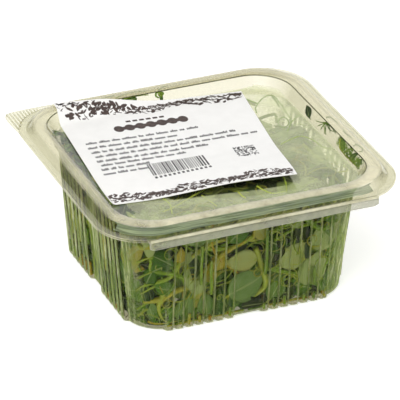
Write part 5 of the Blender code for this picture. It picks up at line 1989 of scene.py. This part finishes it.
@dataclass
class CaughtGreens:
    """Greens that are caught between the lid and the tray's rim, and those that cling to the lid's panel."""

    pattern: LeafPattern
    seed: int = 19
    foot: tuple[float, float] = (54.1, 54.35)
    lean: float = 0.657
    gap: float = 0.66
    top: float = 57.2
    low: float = 53.0
    under: float = 52.3
    crest: float = 57.55
    crest_steps: int = 24
    crest_tone: float = 0.25
    crest_radius: float = 0.3
    crest_taper: float = 0.1
    thread_taper: float = 0.4
    cling_taper: float = 0.3
    curl_steps: int = 8
    edge_leaves: int = 16
    panel: float = 52.8

    def __post_init__(self) -> None:
        """Starts the draws and the three meshes."""
        self.draw = random.Random(self.seed)
        self.leaves = Greenery()
        self.stems = Greenery()
        self.clinging = Greenery()

    def cling(self) -> None:
        """Lays the tendrils that cling to the underside of the lid's panel."""
        for radius, tone, route in PANEL_TENDRILS:
            knots = [Vector((*place, self.panel)) for place in route]
            steps = 6 * (len(knots) - 1)
            widths = [radius * (1 - self.cling_taper * index / steps) for index in range(steps + 1)]
            self.clinging.add_tube(trace(knots, steps), widths, 6, tone)

    def place(self, slope: Slope, along: float, height: float) -> Vector:
        """A point under a slope's sheet, by its place along the slope and its height."""
        height = min(max(height, self.low), self.top)
        rise = max(height, self.foot[1] - 0.4) - self.foot[1]
        depth = self.foot[0] + self.lean * rise + self.gap - slope.less
        out_x, out_y = slope.out
        return Vector((out_x * depth + abs(out_y) * along, out_y * depth + abs(out_x) * along, height))

    def add_thread(self, slope: Slope, route: Sequence[tuple[float, float]], radius: float,
                   tone: float) -> None:
        """Adds one thread that gets thinner.

        Args:
            slope: The slope that it lies under.
            route: Its places along the slope, each with a height.
            radius: Its radius at the start.
            tone: Its place on the material's ramp.
        """
        knots = [self.place(slope, along, height) for along, height in route]
        steps = 8 * (len(knots) - 1)
        widths = [radius * (1 - self.thread_taper * index / steps) for index in range(steps + 1)]
        self.stems.add_tube(trace(knots, steps), widths, 5, tone)

    def add_curl(self, slope: Slope, along: float, height: float, size: float, tone: float) -> None:
        """Adds one tendril that curls in on itself."""
        first = self.draw.uniform(0, 2 * math.pi)
        turn = self.draw.choice((-1, 1)) * self.draw.uniform(3.5, 7.5)
        route = []
        for index in range(self.curl_steps + 1):
            share = index / self.curl_steps
            angle = first + turn * share
            reach = size * (1 - 0.75 * share)
            route.append((along + reach * math.cos(angle), height + 0.62 * reach * math.sin(angle)))
        self.add_thread(slope, route, self.draw.uniform(0.14, 0.26), tone)

    def add_bit(self, slope: Slope, along: float, height: float, size: tuple[float, float], lean: float,
                tone: float) -> None:
        """Adds a bit of leaf that lies flat under a slope.

        Args:
            slope: The slope.
            along: Its middle's place along the slope.
            height: Its middle's height.
            size: Its length and breadth.
            lean: The angle from the slope's way along to the leaf's, in radians.
            tone: Its place on the material's ramp.
        """
        points, maps = [], []
        for v, u in zip(self.pattern.across, self.pattern.along):
            half = size[1] / 2 * leaf_half(u)
            run, side = size[0] * (u - 0.5), half * v
            points.append(self.place(slope, along + run * math.cos(lean) - side * math.sin(lean),
                                     height + run * math.sin(lean) + side * math.cos(lean)))
            maps.append((0.5 + 0.5 * v, u))
        self.leaves.add(points, self.pattern.faces, tone, maps)

    def add_flat_leaf(self, middle: Vector, lean: float, length: float, tone: float) -> None:
        """Adds a leaf pressed flat under the lid's panel."""
        along = Vector((math.cos(lean), math.sin(lean), 0.0))
        across = Vector((-along.y, along.x, 0.0))
        points, maps = [], []
        for v, u in zip(self.pattern.across, self.pattern.along):
            half = 0.3 * length * leaf_half(u)
            points.append(middle + along * length * (u - 0.5) + across * half * v)
            points[-1].x = max(points[-1].x, -52.0)
            maps.append((0.5 + 0.5 * v, u))
        self.leaves.add(points, self.pattern.faces, tone, maps)

    def fill(self) -> None:
        """Places what the photograph shows under the right and back slopes and at the panel's left edge."""
        draw = self.draw
        for ends in (((0.5, 57.0), (4.0, 55.6), (8.0, 54.6)), ((0.5, 57.0), (3.2, 55.0), (5.2, 53.4)),
                     ((0.5, 57.0), (-1.5, 55.0), (-3.4, 53.4)), ((0.5, 57.0), (1.5, 55.0), (1.8, 53.3)),
                     ((0.5, 57.0), (-3.0, 56.6), (-5.6, 55.4)), ((2.0, 56.0), (-1.0, 54.6), (-2.0, 53.2)),
                     ((-1.0, 57.1), (-5.0, 57.1), (-9.5, 56.6)), ((1.0, 57.0), (-4.0, 56.0), (-9.0, 57.0))):
            self.add_thread(RIGHT_SLOPE, ends, 0.26, draw.uniform(0.0, 0.25))
        for _ in range(95):
            along = draw.uniform(-37.0, -14.0)
            low = 53.3 + 1.6 * max(along + 20.0, 0.0) / 5
            self.add_curl(RIGHT_SLOPE, along, draw.uniform(low, 56.6), draw.uniform(0.9, 2.6),
                          draw.uniform(0.0, 0.5))
        self.add_thread(RIGHT_SLOPE, ((-14.5, 56.4), (-17.5, 54.2), (-22.0, 53.4), (-28.0, 53.3),
                                      (-35.0, 53.5)), 0.34, 0.75)
        for along, height, lean, tone in ((-17.5, 56.2, 1.2, 0.4), (-29.0, 55.2, 2.2, 0.25),
                                          (14.5, 53.6, 1.0, 0.4)):
            self.add_bit(RIGHT_SLOPE, along, height, (6.2, 2.8), lean, tone)
        self.add_bit(RIGHT_SLOPE, 16.5, 54.9, (7.2, 3.4), 0.35, 0.18)
        self.add_bit(BACK_SLOPE, -13.0, 56.4, (7.0, 8.0), 0.0, 0.3)
        self.add_thread(BACK_SLOPE, ((-19.0, 55.6), (-14.0, 57.1), (-8.0, 57.2), (-4.0, 56.9)), 0.34, 0.45)
        self.add_thread(BACK_SLOPE, ((-30.5, 55.4), (-27.5, 56.6), (-24.0, 57.2)), 0.26, 0.35)
        for index in range(12):
            self.add_curl(BACK_SLOPE, 1.0 + 0.3 * (index % 5), 56.4, draw.uniform(0.6, 2.4),
                          draw.uniform(0.0, 0.5))
        self.add_bit(BACK_SLOPE, 1.6, 55.6, (4.6, 1.5), 1.45, 0.3)
        for index in range(self.edge_leaves):
            middle = Vector((draw.uniform(-51.2, -47.2), 44.0 - 36.0 * index / self.edge_leaves, self.under))
            self.add_flat_leaf(middle, draw.uniform(0.6, 2.6), draw.uniform(4.0, 8.0),
                               draw.choice((0.3, 0.38, 0.45, 0.55)))
        for route in CREST_THREADS:
            knots = [Vector((*place, self.crest)) for place in route]
            steps = self.crest_steps
            widths = [self.crest_radius - self.crest_taper * index / steps for index in range(steps + 1)]
            self.stems.add_tube(trace(knots, steps), widths, 6, self.crest_tone)


@dataclass
class Greens:
    """All that grows: the twelve shoots that stand for the CAD ones, and the loose greens around them."""

    leaf_sheet: float = 0.22

    def build(self, leaf: Material, stem: Material) -> None:
        """Grows everything and lets it ride on the tray."""
        pattern = LeafPattern()
        pattern.model()
        tones = ((0.05, 0.5), (0.35, 0.85), (0.3, 1.0))
        for index, (name, shoot) in enumerate(SHOOTS.items()):
            grower = Grower(shoot, index + 31, pattern, Room(), tones[index % 3])
            grower.grow()
            for kind, greenery, material in (("leaves", grower.leaves, leaf), ("stems", grower.stems, stem)):
                piece = greenery.build(f"{name}_{kind}", material)
                self.finish(piece, kind)
                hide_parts(name)
        coarse = LeafPattern(rows=7, columns=4)
        coarse.model()
        loose = LooseGreens(pattern, coarse)
        loose.fill()
        caught = CaughtGreens(pattern)
        caught.fill()
        caught.cling()
        for prefix, part in (("loose", loose), ("caught", caught)):
            for kind, greenery, material in (("leaves", part.leaves, leaf), ("stems", part.stems, stem)):
                self.finish(greenery.build(f"{prefix}_{kind}", material), kind)
        self.finish(caught.clinging.build("clinging_tendrils", stem), "stems", "lid")

    def finish(self, piece: Object, kind: str, body: str = "base") -> None:
        """Gives leaves their thickness, smooths a piece and lets it ride on the tray or the lid."""
        if kind == "leaves":
            apply_modifier(piece, "SOLIDIFY", thickness=self.leaf_sheet * MM, offset=0.0)
        activate(piece)
        bpy.ops.object.shade_smooth()
        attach(piece, body)
        LOG.info("%s: %d faces", piece.name, len(piece.data.polygons))


# The studio


@dataclass
class Studio:
    """Floor, soft lights and the camera at the photograph's angle."""

    azimuth: float = -22.94
    elevation: float = 28.67
    roll: float = 0.294
    distance: float = 1578.6
    aim: tuple[float, float, float] = (0.0, 0.0, 30.15)
    offset: tuple[float, float] = (-1.983, 1.005)
    focal_pixels: float = 3714.8
    frame_pixels: float = 400.0
    sensor: float = 36.0
    sky: float = 0.36

    def build(self, sweep: Material) -> None:
        """Adds the floor, the lights, the sky and the camera."""
        self.add_floor(sweep)
        self.add_sky()
        self.add_light("key_softbox", (-500, -420, 900), 700, 8.0)
        self.add_light("fill_softbox", (700, -500, 600), 900, 3.0)
        self.add_light("back_softbox", (480, 1150, 640), 1100, 3.6)
        self.add_camera()
        scene = bpy.context.scene
        scene.view_settings.view_transform = "Standard"
        scene.cycles.transparent_max_bounces = 48

    def add_floor(self, sweep: Material) -> None:
        """A wide flat floor just under the tray's foot."""
        deselect_all()
        bpy.ops.mesh.primitive_plane_add(size=6.0, location=(0.0, 0.0, -0.00005))
        floor = bpy.context.active_object
        floor.name = "studio_floor"
        floor.data.materials.append(sweep)

    def add_sky(self) -> None:
        """An even white surround."""
        world = bpy.data.worlds.new("studio_surround")
        world.use_nodes = True
        world.node_tree.nodes["Background"].inputs["Color"].default_value = linear("#ffffff")
        world.node_tree.nodes["Background"].inputs["Strength"].default_value = self.sky
        bpy.context.scene.world = world

    def add_light(self, name: str, place: tuple[float, float, float], size: float, power: float) -> None:
        """Adds a square soft light that faces the tray."""
        data = bpy.data.lights.new(name, "AREA")
        data.shape = "SQUARE"
        data.size = size * MM
        data.energy = power
        light = bpy.data.objects.new(name, data)
        bpy.context.scene.collection.objects.link(light)
        light.location = Vector(place) * MM
        way = Vector(self.aim) - Vector(place)
        light.rotation_euler = way.to_track_quat("-Z", "Y").to_euler()

    def add_camera(self) -> None:
        """The camera, fitted to the photograph's outlines."""
        azimuth, elevation = math.radians(self.azimuth), math.radians(self.elevation)
        back = Vector((math.sin(azimuth) * math.cos(elevation), -math.cos(azimuth) * math.cos(elevation),
                       math.sin(elevation)))
        turn = (-back).to_track_quat("-Z", "Y").to_matrix()
        turn = turn @ Matrix.Rotation(math.radians(self.roll), 3, "Z")
        right, up = turn.col[0], turn.col[1]
        target = Vector(self.aim) + right * self.offset[0] + up * self.offset[1]
        data = bpy.data.cameras.new("camera")
        data.sensor_width = self.sensor
        data.lens = self.focal_pixels * self.sensor / self.frame_pixels
        data.clip_start, data.clip_end = 0.05, 20.0
        camera = bpy.data.objects.new("camera", data)
        bpy.context.scene.collection.objects.link(camera)
        camera.matrix_world = Matrix.Translation((target + back * self.distance) * MM) @ turn.to_4x4()
        bpy.context.scene.camera = camera


def main() -> None:
    """Builds the tray, the lid, the hinge's web, the label and the greens, and lights them."""
    logging.basicConfig(level=logging.INFO, format="%(name)s %(message)s")
    clear = ClearSheet().build()
    Tray().build(clear, FLUTED_WALL.build(), HAZED_FOLD.build())
    Lid().build(clear, [sheet.build() for sheet in (REFLECTING_PANEL, SHADED_BEND, BEAD_CREST, BEAD_SIDE)])
    HingeWeb().build(HIGHLIT_WEB.build())
    Label().build(LabelPaper().build(), BROWN_INK.build(), BLACK_INK.build())
    Greens().build(LeafGreen().build(), StemGreen().build())
    Studio().build(Backdrop().build())


if __name__ == "__main__":
    main()
